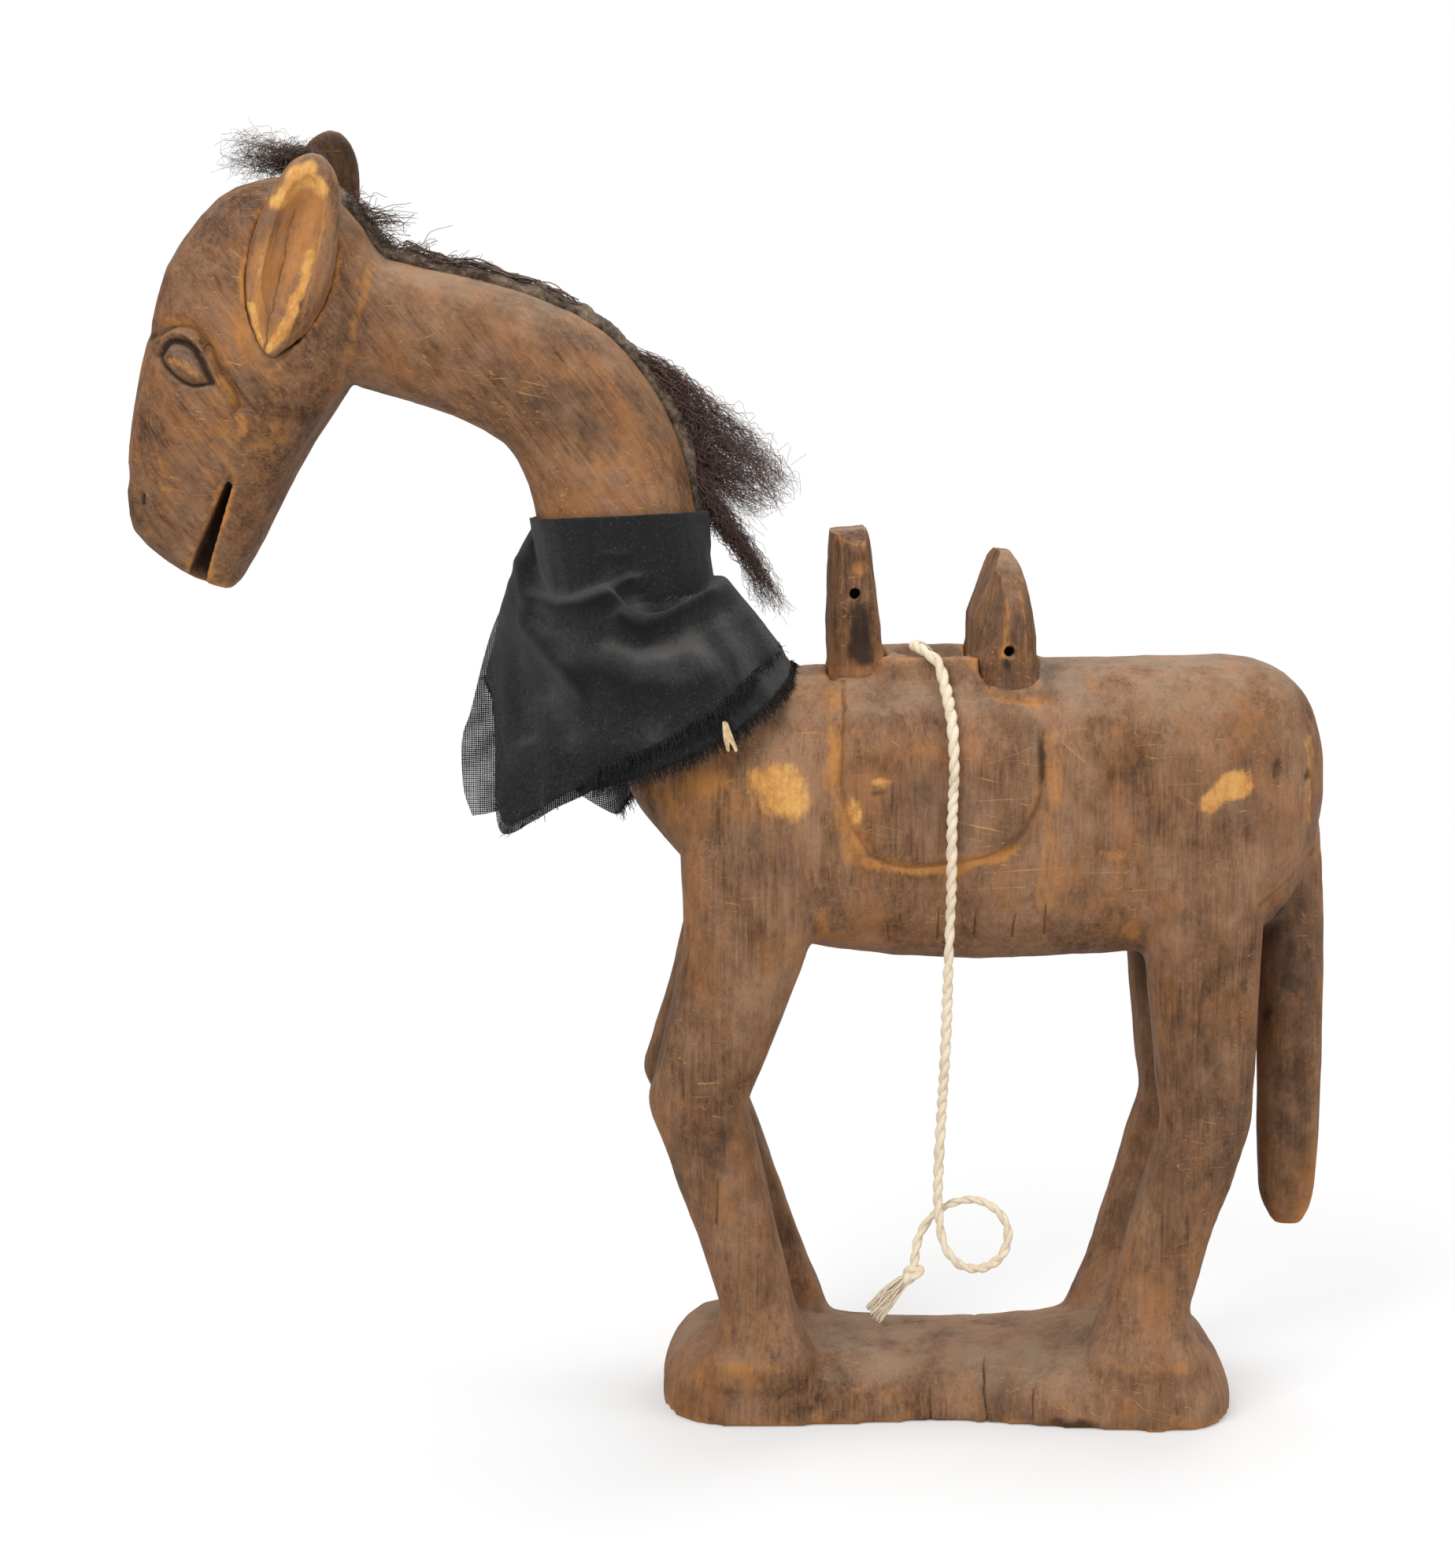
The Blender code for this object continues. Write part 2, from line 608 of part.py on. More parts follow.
def make_seat():
    middle = seat_centre()
    size = (SEAT_LENGTH + POMMEL_LENGTH, SEAT_WIDTH)
    rows = []
    for rise, share in ((-26, 1.0), (-8, 1.0), (-2, 0.98), (1, 0.94)):
        z = middle.z + rise * MM
        half = size[0] * share / 2
        rows.append(station((middle.x - half, z), (middle.x + half, z), size[1] * share / 2))
    pad = loft("seat_pad", rows, steps=1, squareness=5, sides=24)
    hollow = ellipsoid("seat_hollow", middle + Vector((0, 0, 3 * MM)),
                       (SEAT_LENGTH / 2 - 1 * MM, SEAT_WIDTH / 2 - 5 * MM, SEAT_HOLLOW + 3 * MM))
    return pad, hollow


def bow_rows(size, front, lean, shape, grow=0.0):
    """A saddle bow: a board across the back, let into the saddle. size is its length, width and height."""
    length, width, height = size
    low = BACK_HEIGHT - BOW_SINK - grow
    high = BACK_HEIGHT + height + grow
    rows = []
    for share, thin, narrow in shape:
        z = low + share * (high - low)
        middle = front + length / 2 + lean * share
        half = length * thin / 2 + grow
        rows.append(station((middle - half, z), (middle + half, z), narrow * width / 2 + grow))
    return rows


def make_bow(name, size, front, lean, shape, hole_height):
    bow = loft(name, bow_rows(size, front, lean, shape), steps=2, squareness=4, sides=20)
    room = bow_rows(size, front, lean, shape, CLEARANCE)
    pocket = loft(name + "_pocket", room, steps=2, squareness=4, sides=20)
    length, width, height = size
    middle = front + length / 2 + lean * hole_height / height
    z = BACK_HEIGHT + hole_height
    near = -width / 2
    hole = rod(name + "_hole", (middle, near - 6 * MM, z), (middle, near + 9 * MM, z), BOW_HOLE_DIAMETER, 10)
    cut(bow, hole)
    return bow, pocket


def make_bows():
    """Pommel, flat on top, and cantle, tapering to a narrow crest: each with the pocket that it stands in."""
    pommel_shape = ((0.00, 1.00, 0.97), (0.25, 1.00, 1.00), (0.55, 0.90, 0.98), (0.82, 0.78, 0.92),
                    (0.95, 0.68, 0.82), (1.00, 0.55, 0.68))
    cantle_shape = ((0.00, 1.00, 0.96), (0.25, 1.00, 1.00), (0.55, 0.92, 0.96), (0.78, 0.78, 0.82),
                    (0.92, 0.60, 0.62), (1.00, 0.36, 0.36))
    pommel_size = (POMMEL_LENGTH, POMMEL_WIDTH, POMMEL_HEIGHT)
    cantle_size = (CANTLE_LENGTH, CANTLE_WIDTH, CANTLE_HEIGHT)
    pommel = make_bow("pommel", pommel_size, SADDLE_FRONT_X - 3 * MM, POMMEL_LEAN, pommel_shape,
                      0.5 * POMMEL_HEIGHT)
    cantle = make_bow("cantle", cantle_size, SADDLE_REAR_X - CANTLE_LENGTH, CANTLE_LEAN, cantle_shape,
                      0.1 * CANTLE_HEIGHT)
    return pommel, cantle


def neck_seat_frame():
    """Axes at the neck's seat: Z runs up the neck."""
    seat = neck_rows()[0]
    across = Vector((seat[0] - seat[2], 0, seat[1] - seat[3])).normalized()
    up = across.cross(Vector((0, 1, 0)))
    if up.z < 0:
        up.negate()
    frame = Matrix((across, up.cross(across), up)).transposed().to_4x4()
    return Matrix.Translation(NECK_SEAT) @ frame


def make_tenon():
    """Square tenon under the neck, its mortise, and the peg hole through both."""
    frame = neck_seat_frame()
    overlap = 12 * MM
    middle = Matrix.Translation((0, 0, (overlap - TENON_LENGTH) / 2))
    tenon = block("neck_tenon", frame @ middle, (TENON_DEPTH, TENON_WIDTH, TENON_LENGTH + overlap))
    deeper = Matrix.Translation((0, 0, (overlap - TENON_LENGTH) / 2 - CLEARANCE))
    mortise = block("neck_mortise", frame @ deeper,
                    (TENON_DEPTH + 2 * CLEARANCE, TENON_WIDTH + 2 * CLEARANCE, TENON_LENGTH + overlap))
    centre = frame @ Vector((0, 0, -TENON_LENGTH * 0.45))
    reach = NECK_WIDTH / 2
    hole = rod("peg_hole", (centre.x, -BODY_WIDTH, centre.z), (centre.x, BODY_WIDTH, centre.z),
               PEG_DIAMETER + 2 * CLEARANCE)
    peg = rod("neck_peg", (centre.x, -reach, centre.z), (centre.x, reach, centre.z), PEG_DIAMETER)
    return tenon, mortise, hole, peg


def mouth_cutter(side):
    """Wedge cut into one side of the muzzle: open at the lips and closed at its inner end."""
    past_lips = 6 * MM
    start = HEAD_LENGTH - MOUTH_LENGTH
    end = HEAD_LENGTH + past_lips
    inner = -0.15 * HEAD_DEPTH
    lips = -0.10 * HEAD_DEPTH
    slit = MOUTH_INNER_GAPE / 2
    gape = MOUTH_GAPE / 2
    outline = [head_point(start, inner - slit), head_point(start, inner + slit),
               head_point(end, lips + gape), head_point(end, lips - gape)]
    reach = HEAD_WIDTH / 2
    aside = Matrix.Translation((0, side * (MOUTH_WEB / 2 + reach), 0))
    return outline_prism("mouth_wedge", outline, reach, aside @ Matrix.Rotation(math.pi / 2, 4, "X"))


def almond(length, height):
    """Outline of an eye: two arcs that meet in points."""
    points = []
    for turn in range(9):
        share = turn / 8
        points.append((length * (share - 0.5), height / 2 * math.sin(math.pi * share)))
    for turn in range(1, 8):
        share = turn / 8
        points.append((length * (0.5 - share), -height / 2 * math.sin(math.pi * share)))
    return points


def eye_frame(side):
    """Axes on the cheek at the eye: X along the eye, Z out of the head."""
    x, z = head_point(0.445 * HEAD_LENGTH, 0.225 * HEAD_DEPTH)
    along = Vector((0.80, side * 0.34, -0.50)).normalized()
    outward = Vector((-0.42, side * 0.90, 0.10))
    outward = (outward - along * outward.dot(along)).normalized()
    across = outward.cross(along)
    frame = Matrix((along, across, outward)).transposed().to_4x4()
    return Matrix.Translation((x, side * HEAD_WIDTH * 0.445, z)) @ frame


def make_eye(side):
    """Groove cutter of the lids and the ball that stands in it."""
    name = "eye_left" if side < 0 else "eye_right"
    frame = eye_frame(side)
    outer = outline_prism(name + "_lids", almond(EYE_LENGTH, EYE_HEIGHT), EYE_DEPTH, frame)
    lowered = frame @ Matrix.Translation((0, 0, EYE_PROUD - 1.5 * EYE_DEPTH))
    inner = almond(EYE_LENGTH - 3 * EYE_GROOVE, EYE_HEIGHT - 2 * EYE_GROOVE)
    ball = outline_prism(name + "_ball", inner, 1.5 * EYE_DEPTH, lowered)
    return outer, ball


def nostril(side):
    name = "nostril_left" if side < 0 else "nostril_right"
    x, z = head_point(0.80 * HEAD_LENGTH, 0.30 * HEAD_DEPTH)
    return ellipsoid(name, Vector((x, side * HEAD_WIDTH * 0.24, z)), (4 * MM, 4 * MM, NOSTRIL_LENGTH / 2), 10)


def make_wood():
    """The log, the neck with its head, the ears and the saddle bows, cut to fit each other.

    Returns the bare forms that the scarf lies on: trunk, neck and forelegs.
    """
    body = loft("body", torso_rows(), steps=2, squareness=2.8)
    legs = [make_leg(f"{'fore' if fore else 'hind'}leg_{'left' if side < 0 else 'right'}", side, fore)
            for fore in (True, False) for side in (-1, 1)]
    pad, hollow = make_seat()
    stump = loft("neck_stump", stump_rows(), steps=2)
    join(body, stump, *legs, make_plinth(), make_tail(), make_flaps(), pad)
    (pommel, pommel_pocket), (cantle, cantle_pocket) = make_bows()
    tenon, mortise, peg_hole, peg = make_tenon()
    floor = seat_centre() - Vector((0, 0, SEAT_HOLLOW))
    cord_hole = rod("cord_hole", floor - Vector((0, 0, 14 * MM)), floor + Vector((0, 0, 14 * MM)),
                    CORD_HOLE_DIAMETER, 12)
    cut(body, hollow, pommel_pocket, cantle_pocket, mortise, peg_hole, cord_hole)

    lift = neck_seat_frame().to_3x3() @ Vector((0, 0, CLEARANCE))
    rows = neck_rows()
    first = rows[0]
    upper = (first[0] + lift.x, first[1] + lift.z)
    lower = (first[2] + lift.x, first[3] + lift.z)
    rows[0] = station(upper, lower, first[4])
    neck = loft("neck_and_head", rows + poll_rows(), steps=2)
    eyes = [make_eye(side) for side in (-1, 1)]
    ear_left, pocket_left = make_ear("ear_left", -1)
    ear_right, pocket_right = make_ear("ear_right", 1)
    slot = loft("mane_slot", strip_rows(crest_line(), STRIP_PROUD + 2 * MM, STRIP_DEPTH + CLEARANCE,
                                        STRIP_WIDTH + 2 * CLEARANCE), steps=1, squareness=8, sides=12)
    join(neck, loft("head", head_rows(), steps=2, squareness=2.7), tenon)
    cut(neck, *(lids for lids, ball in eyes))
    join(neck, *(ball for lids, ball in eyes))
    cut(neck, *(mouth_cutter(side) for side in (-1, 1)), *(nostril(side) for side in (-1, 1)))
    cut(neck, pocket_left, pocket_right, slot, peg_hole)
    for made in (body, neck, ear_left, ear_right, pommel, cantle, peg):
        finish_part(made, WOOD if made is not peg else PALE_WOOD)
    throat = loft("neck_guide", stump_rows()[::-1] + neck_rows()[1:], steps=2)
    return body, throat, legs[0], legs[1]


def shortened(line, amount):
    """The same line with both of its ends drawn in."""
    (first, first_out), (second, _) = line[0], line[1]
    (last, last_out), (before, _) = line[-1], line[-2]
    start = (first + (second - first).normalized() * amount, first_out)
    end = (last + (before - last).normalized() * amount, last_out)
    return [start] + line[1:-1] + [end]


def make_mane():
    """Hide strip in its slot, with the locks of hair that stand on it."""
    line = crest_line()
    strip = loft("mane_strip", strip_rows(shortened(line, CLEARANCE), STRIP_PROUD, STRIP_DEPTH, STRIP_WIDTH),
                 steps=1, squareness=8, sides=12)
    finish_part(strip, HIDE)
    last = len(line) - 1

    def on_strip(index, rise, back=0.0, up=0.0):
        point, out = line[index]
        place = point + out * (STRIP_PROUD + CLEARANCE + rise)
        return (place.x + back, place.z + up)

    thick = FORELOCK_THICKNESS
    brow = [on_strip(0, 0.3 * thick)]
    for share, lift in ((0.24, 0.25), (0.63, 0.5), (1.0, 0.25)):
        brow.append(on_strip(0, thick / 2, -share * FORELOCK_LENGTH, lift * thick))
    tuft("forelock", brow, [share * thick for share in (0.5, 0.85, 1.0, 0.42)])

    thick = NAPE_TUFT_THICKNESS
    rises = (0.36, 0.57, 0.57, 0.50, 0.30)
    nape = [on_strip(index, rise * thick) for index, rise in enumerate(rises, 1)]
    tuft("nape_tuft", nape, [share * thick for share in (0.6, 1.0, 1.0, 0.85, 0.45)])

    thick = LOCK_THICKNESS
    lock = [on_strip(index, rise * thick) for index, rise in enumerate((0.20, 0.33, 0.46), last - 5)]
    for reach, drop in ((0.24, -0.08), (0.62, 0.44), (1.0, 1.0)):
        lock.append(on_strip(last - 2, 0, reach * LOCK_REACH, -drop * LOCK_DROP))
    tuft("mane_lock", lock, [share * thick for share in (0.35, 0.6, 0.87, 1.0, 0.85, 0.3)])

    thick = LOCK_TAIL_THICKNESS
    tail = [on_strip(last - 1, 0.28 * thick)]
    for reach, drop in ((0.29, 0.04), (0.57, 0.30), (0.83, 0.67), (1.0, 1.0)):
        tail.append(on_strip(last - 1, 0, reach * LOCK_TAIL_REACH, -drop * LOCK_TAIL_DROP))
    tuft("mane_tail", tail, [share * thick for share in (0.45, 0.9, 1.0, 0.8, 0.35)])


def scarf_edge(angle):
    """Lower edge of the scarf round the horse: reach from the neck's axis and drop below the hem.

    Angles run from the front (0) past the left side (90) and the rear (180) to the right side (270).
    """
    shape = (
        (0, SCARF_FRONT_REACH * 0.95, SCARF_CORNER_DROP * 0.92),
        (24, SCARF_FRONT_REACH * 0.90, SCARF_CORNER_DROP),
        (52, SCARF_SIDE_REACH * 0.92, SCARF_SIDE_DROP * 1.10), (90, SCARF_SIDE_REACH, SCARF_SIDE_DROP),
        (135, SCARF_SIDE_REACH * 1.30, SCARF_SIDE_DROP * 0.86), (180, SCARF_REAR_REACH, SCARF_REAR_DROP),
        (225, SCARF_SIDE_REACH * 1.30, SCARF_SIDE_DROP * 0.86), (270, SCARF_SIDE_REACH, SCARF_SIDE_DROP),
        (300, SCARF_SIDE_REACH * 0.90, SCARF_CORNER_DROP),
        (330, SCARF_FRONT_REACH * 0.82, SCARF_SIDE_DROP * 1.12),
        (360, SCARF_FRONT_REACH * 0.95, SCARF_CORNER_DROP * 0.92))
    angles, reaches, drops = zip(*shape)
    return float(np.interp(angle, angles, reaches)), float(np.interp(angle, angles, drops))


def fold_height(angle, drop):
    """Main folds: long ridges across the cloth, each from one place to another, with a width."""
    folds = (
        (20, 0.20, 160, 0.34, 0.07, 1.5), (30, 0.42, 110, 0.62, 0.07, 1.0), (120, 0.60, 185, 0.48, 0.08, 1.2),
        (200, 0.34, 340, 0.26, 0.07, 1.2), (230, 0.50, 300, 0.70, 0.08, 1.0), (0, 0.45, 12, 0.95, 0.06, 1.0),
        (36, 0.62, 48, 0.98, 0.05, 0.8), (318, 0.55, 330, 0.98, 0.05, 0.8))
    height = 0.0
    for start, start_drop, end, end_drop, width, size in folds:
        a = np.array([start / 150, start_drop])
        b = np.array([end / 150, end_drop])
        p = np.array([angle / 150, drop])
        share = np.clip(np.dot(p - a, b - a) / np.dot(b - a, b - a), 0, 1)
        gap = np.linalg.norm(p - a - share * (b - a))
        height += size * math.exp(-(gap / width) ** 2)
    return height * FOLD_HEIGHT


def make_scarf(wood):
    """A square of cloth wrapped round the neck: snug at the hem, then flaring in folds to its corners."""
    columns, levels = 46, 13
    solids = [bare_surface(piece) for piece in wood]
    seat = neck_rows()[0]
    half_depth = (seat[0] - seat[2]) / 2
    rings = []
    for level in range(levels):
        drop_share = level / (levels - 1)
        ring = []
        for column in range(columns):
            angle = 360 * column / columns
            direction = Vector((-math.cos(math.radians(angle)), -math.sin(math.radians(angle)), 0))
            snug = 1 / math.hypot(direction.x / half_depth, direction.y / (NECK_WIDTH / 2))
            reach, drop = scarf_edge(angle)
            flare = snug + (reach - snug) * drop_share ** (1.2 - 0.45 * math.cos(math.radians(angle)))
            z = NECK_SEAT.z + SCARF_HEM_RISE - drop * drop_share ** 1.1
            wide = flare + fold_height(angle, drop_share) * min(1.0, drop_share * 4)
            ring.append(Vector((NECK_SEAT.x - 3 * MM, 0, z)) + direction * wide)
        rings.append(ring)
    shape = bmesh.new()
    placed = [[shape.verts.new(point) for point in ring] for ring in rings]
    for ring, following in zip(placed, placed[1:]):
        for i in range(columns):
            j = (i + 1) % columns
            shape.faces.new((ring[i], following[i], following[j], ring[j]))
    for pass_number in range(4):
        bmesh.ops.smooth_vert(shape, verts=[v for ring in placed[1:] for v in ring], factor=0.2,
                              use_axis_x=True, use_axis_y=True, use_axis_z=True)
        for vert in shape.verts:
            vert.co = lay_outside(solids, vert.co)
    mesh = bpy.data.meshes.new("scarf")
    shape.to_mesh(mesh)
    shape.free()
    scarf = mesh_object("scarf", mesh)
    thicken = scarf.modifiers.new("Cloth_thickness", "SOLIDIFY")
    thicken.thickness = SCARF_THICKNESS
    thicken.offset = 1
    return finish_part(scarf, CLOTH)


def bare_surface(piece):
    """Surface of a carved form before anything is cut from it."""
    corners = [vert.co for vert in piece.data.vertices]
    return BVHTree.FromPolygons(corners, [tuple(face.vertices) for face in piece.data.polygons])


def lay_outside(solids, point):
    """The point itself, or the nearest place clear of the wood."""
    for solid in solids * 6:
        surface, normal, face, distance = solid.find_nearest(point)
        if (point - surface).dot(normal) < SCARF_EASE:
            point = surface + normal * SCARF_EASE
    return point


def cord_route():
    """The cord's way: out of the seat, over the left flap, down past the belly, one loop and its knot."""
    seat = seat_centre()
    hang = -(BODY_WIDTH / 2 + FLAP_RELIEF + CORD_DIAMETER / 2 + 1 * MM)
    start = [(seat.x, 0, seat.z - SEAT_HOLLOW + 2 * MM)]
    turn = [(-9, -1.8, 345.5), (-12.8, -7, 351.7), (-17, -15, 355.8), (-18, -25, 356.5), (-14, -36, 355),
            (-8.5, -47, 351)]
    side = hang / MM
    fall = [(-5, -58, 344), (-3, side, 330), (-2, side, 300), (-2, side, 262), (-4, side, 220),
            (-5, side, 180), (-7, side - 1, 140), (-8, side - 3, 116)]
    loop = [(-7.6, -67, 104), (-5, -68, 89.5), (2.2, -68, 80.6), (12.4, -68, 79.3), (20.8, -67, 85),
            (23.4, -65.5, 95), (19, -64.5, 104), (9.5, -63, 108.8), (-1, -61.5, 107)]
    end = [(-10, -61.5, 101), (-16, -63.5, 92), (-18, -66, 82)]
    return start + [(x * MM, y * MM, z * MM) for x, y, z in turn + fall + loop + end]


def make_cord():
    step = 2 * CORD_DIAMETER
    fine = smooth_rows(cord_route(), 24)
    lengths = np.concatenate([[0], np.cumsum(np.linalg.norm(np.diff(fine, axis=0), axis=1))])
    count = int(lengths[-1] / step) + 1
    even = np.linspace(0, lengths[-1], count)
    points = np.array([[np.interp(s, lengths, fine[:, i]) for i in range(3)] for s in even])
    curve = bpy.data.curves.new("cord", "CURVE")
    curve.dimensions = "3D"
    curve.bevel_depth = CORD_DIAMETER / 2
    curve.bevel_resolution = 2
    curve.use_fill_caps = True
    line = curve.splines.new("POLY")
    line.points.add(count - 1)
    for point, place in zip(line.points, points):
        point.co = (*place, 1)
    cord = bpy.data.objects.new("cord", curve)
    PARTS.objects.link(cord)
    curve.materials.append(COTTON)
    tip = Vector(points[-1])
    heading = (tip - Vector(points[-2])).normalized()
    aside = Vector((-0.75, 0, -0.66)).normalized()
    knot_at = tip + heading * (KNOT_DIAMETER / 2 + 2 * CLEARANCE)
    finish_part(ellipsoid("cord_knot", knot_at, (KNOT_DIAMETER / 2,) * 3, 12), COTTON)
    rows = []
    for share, width in ((0.0, 0.45), (0.25, 0.60), (0.7, 1.0), (1.0, 0.8)):
        middle = knot_at + aside * (KNOT_DIAMETER / 2 + 2 * CLEARANCE + share * TASSEL_LENGTH)
        reach = Vector((-aside.z, 0, aside.x)) * width * KNOT_DIAMETER / 2
        upper = middle + reach
        lower = middle - reach
        rows.append(station((upper.x, upper.z), (lower.x, lower.z), width * KNOT_DIAMETER * 0.4, middle.y))
    finish_part(loft("cord_tassel", rows, sides=10), COTTON)


def make_pin(scarf):
    """A pale sliver of wood that lies against the scarf above its left lower edge."""
    depsgraph = bpy.context.evaluated_depsgraph_get()
    cloth = BVHTree.FromObject(scarf, depsgraph)
    x = NECK_SEAT.x + PIN_BACK
    z = NECK_SEAT.z + SCARF_HEM_RISE - PIN_DROP
    rows = []
    for share, half in ((-0.5, 0.25), (-0.2, 0.75), (0.2, 1.0), (0.5, 0.5)):
        middle = Vector((x - share * PIN_LENGTH * 0.3, 0, z + share * PIN_LENGTH))
        surface = cloth.ray_cast(middle - Vector((0, 2 * BODY_WIDTH, 0)), Vector((0, 1, 0)))[0]
        reach = half * PIN_WIDTH / 2
        rows.append(station((middle.x - reach, middle.z), (middle.x + reach, middle.z), PIN_THICKNESS / 2,
                            surface.y - PIN_THICKNESS / 2 - 2 * CLEARANCE))
    finish_part(loft("scarf_pin", rows, sides=8), PALE_WOOD)


clear_scene()
PARTS = collection("carved_horse")
CUTTERS = collection("cutters")
WOOD = material("dark_carved_wood", (0.15, 0.075, 0.035), 0.72)
PALE_WOOD = material("pale_bare_wood", (0.50, 0.33, 0.17), 0.7)
HIDE = material("grey_brown_hide", (0.10, 0.075, 0.055), 0.85)
HAIR = material("dark_brown_hair", (0.045, 0.025, 0.020), 0.6)
CLOTH = material("charcoal_cotton", (0.018, 0.020, 0.021), 0.95)
COTTON = material("cream_cotton", (0.72, 0.62, 0.46), 0.9)

wooden = make_wood()
bpy.context.view_layer.update()
make_mane()
scarf = make_scarf(wooden)
bpy.context.view_layer.update()
make_pin(scarf)
make_cord()
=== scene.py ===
"""Carved wooden horse with a gauze scarf, a hide-and-hair mane and a cotton cord, as photographed."""
import math

import bmesh
import bpy
import numpy as np
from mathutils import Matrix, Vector
from mathutils.bvhtree import BVHTree


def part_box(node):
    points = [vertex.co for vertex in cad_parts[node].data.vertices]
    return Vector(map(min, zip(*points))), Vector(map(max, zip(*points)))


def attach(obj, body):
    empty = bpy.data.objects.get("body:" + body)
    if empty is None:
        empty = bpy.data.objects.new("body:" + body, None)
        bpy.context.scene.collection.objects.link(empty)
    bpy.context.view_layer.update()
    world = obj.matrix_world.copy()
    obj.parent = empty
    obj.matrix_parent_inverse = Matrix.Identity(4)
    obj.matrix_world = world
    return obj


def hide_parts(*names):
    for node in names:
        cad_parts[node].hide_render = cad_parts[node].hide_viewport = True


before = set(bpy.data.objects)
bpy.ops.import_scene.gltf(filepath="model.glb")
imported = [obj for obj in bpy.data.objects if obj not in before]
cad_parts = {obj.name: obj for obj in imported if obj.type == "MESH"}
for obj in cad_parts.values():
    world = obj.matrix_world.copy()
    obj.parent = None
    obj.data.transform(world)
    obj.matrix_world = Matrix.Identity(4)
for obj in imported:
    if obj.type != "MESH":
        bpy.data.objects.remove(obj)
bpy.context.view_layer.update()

MM = 0.001
SEED = 7
ACROSS = np.array((0.0, 1.0, 0.0))
STEPS_PER_SPAN = 24
FACET_LIMIT = 1.2

# Camera of the photograph: it looks along +Y, tilted down a little.
PHOTO_SIZE = (1848, 1991)
CAMERA_PLACE = np.array((-0.101, -1.30, 0.46))
CAMERA_PITCH = math.radians(7.6)
PIXELS_PER_RADIAN = 1.3115 / 0.00036

# Cord, in mm: up through the seat, over the saddle flap and down the near side to a knotted loop.
CORD_DIAMETER = 5.5 * MM
CORD_HANG = -63.75
CORD_START = [(-7.5, 0, 338)]
CORD_TURN = [(-8.8, -1.6, 345), (-12, -6.5, 349.5), (-16, -14, 351.5), (-18, -24, 352), (-17, -33, 352)]
# Pixels of the cord where it lies on the saddle flap.
CORD_LAID = [
    (1188, 838), (1195, 856), (1201, 880), (1206, 905), (1210, 935), (1212, 965), (1211, 1000),
    (1209, 1040), (1208, 1080), (1207, 1120),
]
CORD_FALL = [(-4, CORD_HANG, 220), (-5, CORD_HANG, 180), (-7, CORD_HANG - 1, 140), (-8, CORD_HANG - 3, 116)]
CORD_LOOP = [
    (-7.6, -67, 104), (-5, -68, 89.5), (2.2, -68, 80.6), (12.4, -68, 79.3), (20.8, -67, 85),
    (23.4, -65.5, 95), (19, -64.5, 104), (9.5, -63, 108.8), (-1, -61.5, 107),
]
CORD_END = [(-10, -61.5, 101), (-16, -63.5, 92), (-18, -66, 82)]
CORD_PITCH = 14 * MM
PLY_SIDES = 14
# Of the cord's thickness: how far a ply lies off the middle, and the ply's radius.
PLY_OFFSET, PLY_RADIUS = 0.155, 0.295
TASSEL_YARNS = 90
TASSEL_LENGTHS = (17.5, 20.5)

# Crest of the neck under the mane, in mm, from the poll down to the withers.
CREST = [
    (-278, 552), (-262, 539), (-232, 519), (-213, 515), (-197, 510), (-183, 506), (-169, 499), (-156, 492),
    (-145, 481), (-136, 470), (-128, 458), (-122, 444), (-118, 430), (-116.5, 414), (-116.5, 406),
]

# Draws for the tassel and the fringes, in that order.
random = np.random.default_rng(SEED)


# Frame and pixels

def to_pixels(points):
    """Photograph pixels of points in the frame."""
    d = np.asarray(points, float) - CAMERA_PLACE
    c, s = math.cos(CAMERA_PITCH), math.sin(CAMERA_PITCH)
    depth = d[:, 1] * c - d[:, 2] * s
    up = d[:, 1] * s + d[:, 2] * c
    x = PHOTO_SIZE[0] / 2 + PIXELS_PER_RADIAN * d[:, 0] / depth
    y = PHOTO_SIZE[1] / 2 - PIXELS_PER_RADIAN * up / depth
    return np.stack([x, y], 1)


def to_world(px, py, y):
    """The point at depth y, in mm, that the photograph shows at that pixel."""
    right = (px - PHOTO_SIZE[0] / 2) / PIXELS_PER_RADIAN
    up = (PHOTO_SIZE[1] / 2 - py) / PIXELS_PER_RADIAN
    c, s = math.cos(CAMERA_PITCH), math.sin(CAMERA_PITCH)
    ray = np.array((right, c + up * s, -s + up * c))
    return CAMERA_PLACE + ray * ((y * MM - CAMERA_PLACE[1]) / ray[1])


def smooth_line(points, step):
    """Points a step apart on a smooth curve through the given ones."""
    points = np.asarray(points, float)
    padded = np.vstack([2 * points[0] - points[1], points, 2 * points[-1] - points[-2]])
    dense = []
    for i in range(len(points) - 1):
        a, b, c, d = padded[i:i + 4]
        for t in np.linspace(0, 1, STEPS_PER_SPAN, endpoint=False):
            dense.append(0.5 * (2 * b + (c - a) * t + (2 * a - 5 * b + 4 * c - d) * t ** 2
                                + (3 * b - a - 3 * c + d) * t ** 3))
    dense.append(points[-1])
    return resampled(np.array(dense), step)


def run_of(line):
    """Distance along the line at each of its points."""
    return np.concatenate([[0], np.cumsum(np.linalg.norm(np.diff(line, axis=0), axis=1))])


def resampled(line, step):
    """The line again, with its points a step apart."""
    run = run_of(line)
    at = np.linspace(0, run[-1], max(2, int(round(run[-1] / step)) + 1))
    return np.stack([np.interp(at, run, line[:, i]) for i in range(line.shape[1])], 1)


def length_of(line):
    return float(np.linalg.norm(np.diff(line, axis=0), axis=1).sum())


# Noise on arrays of points

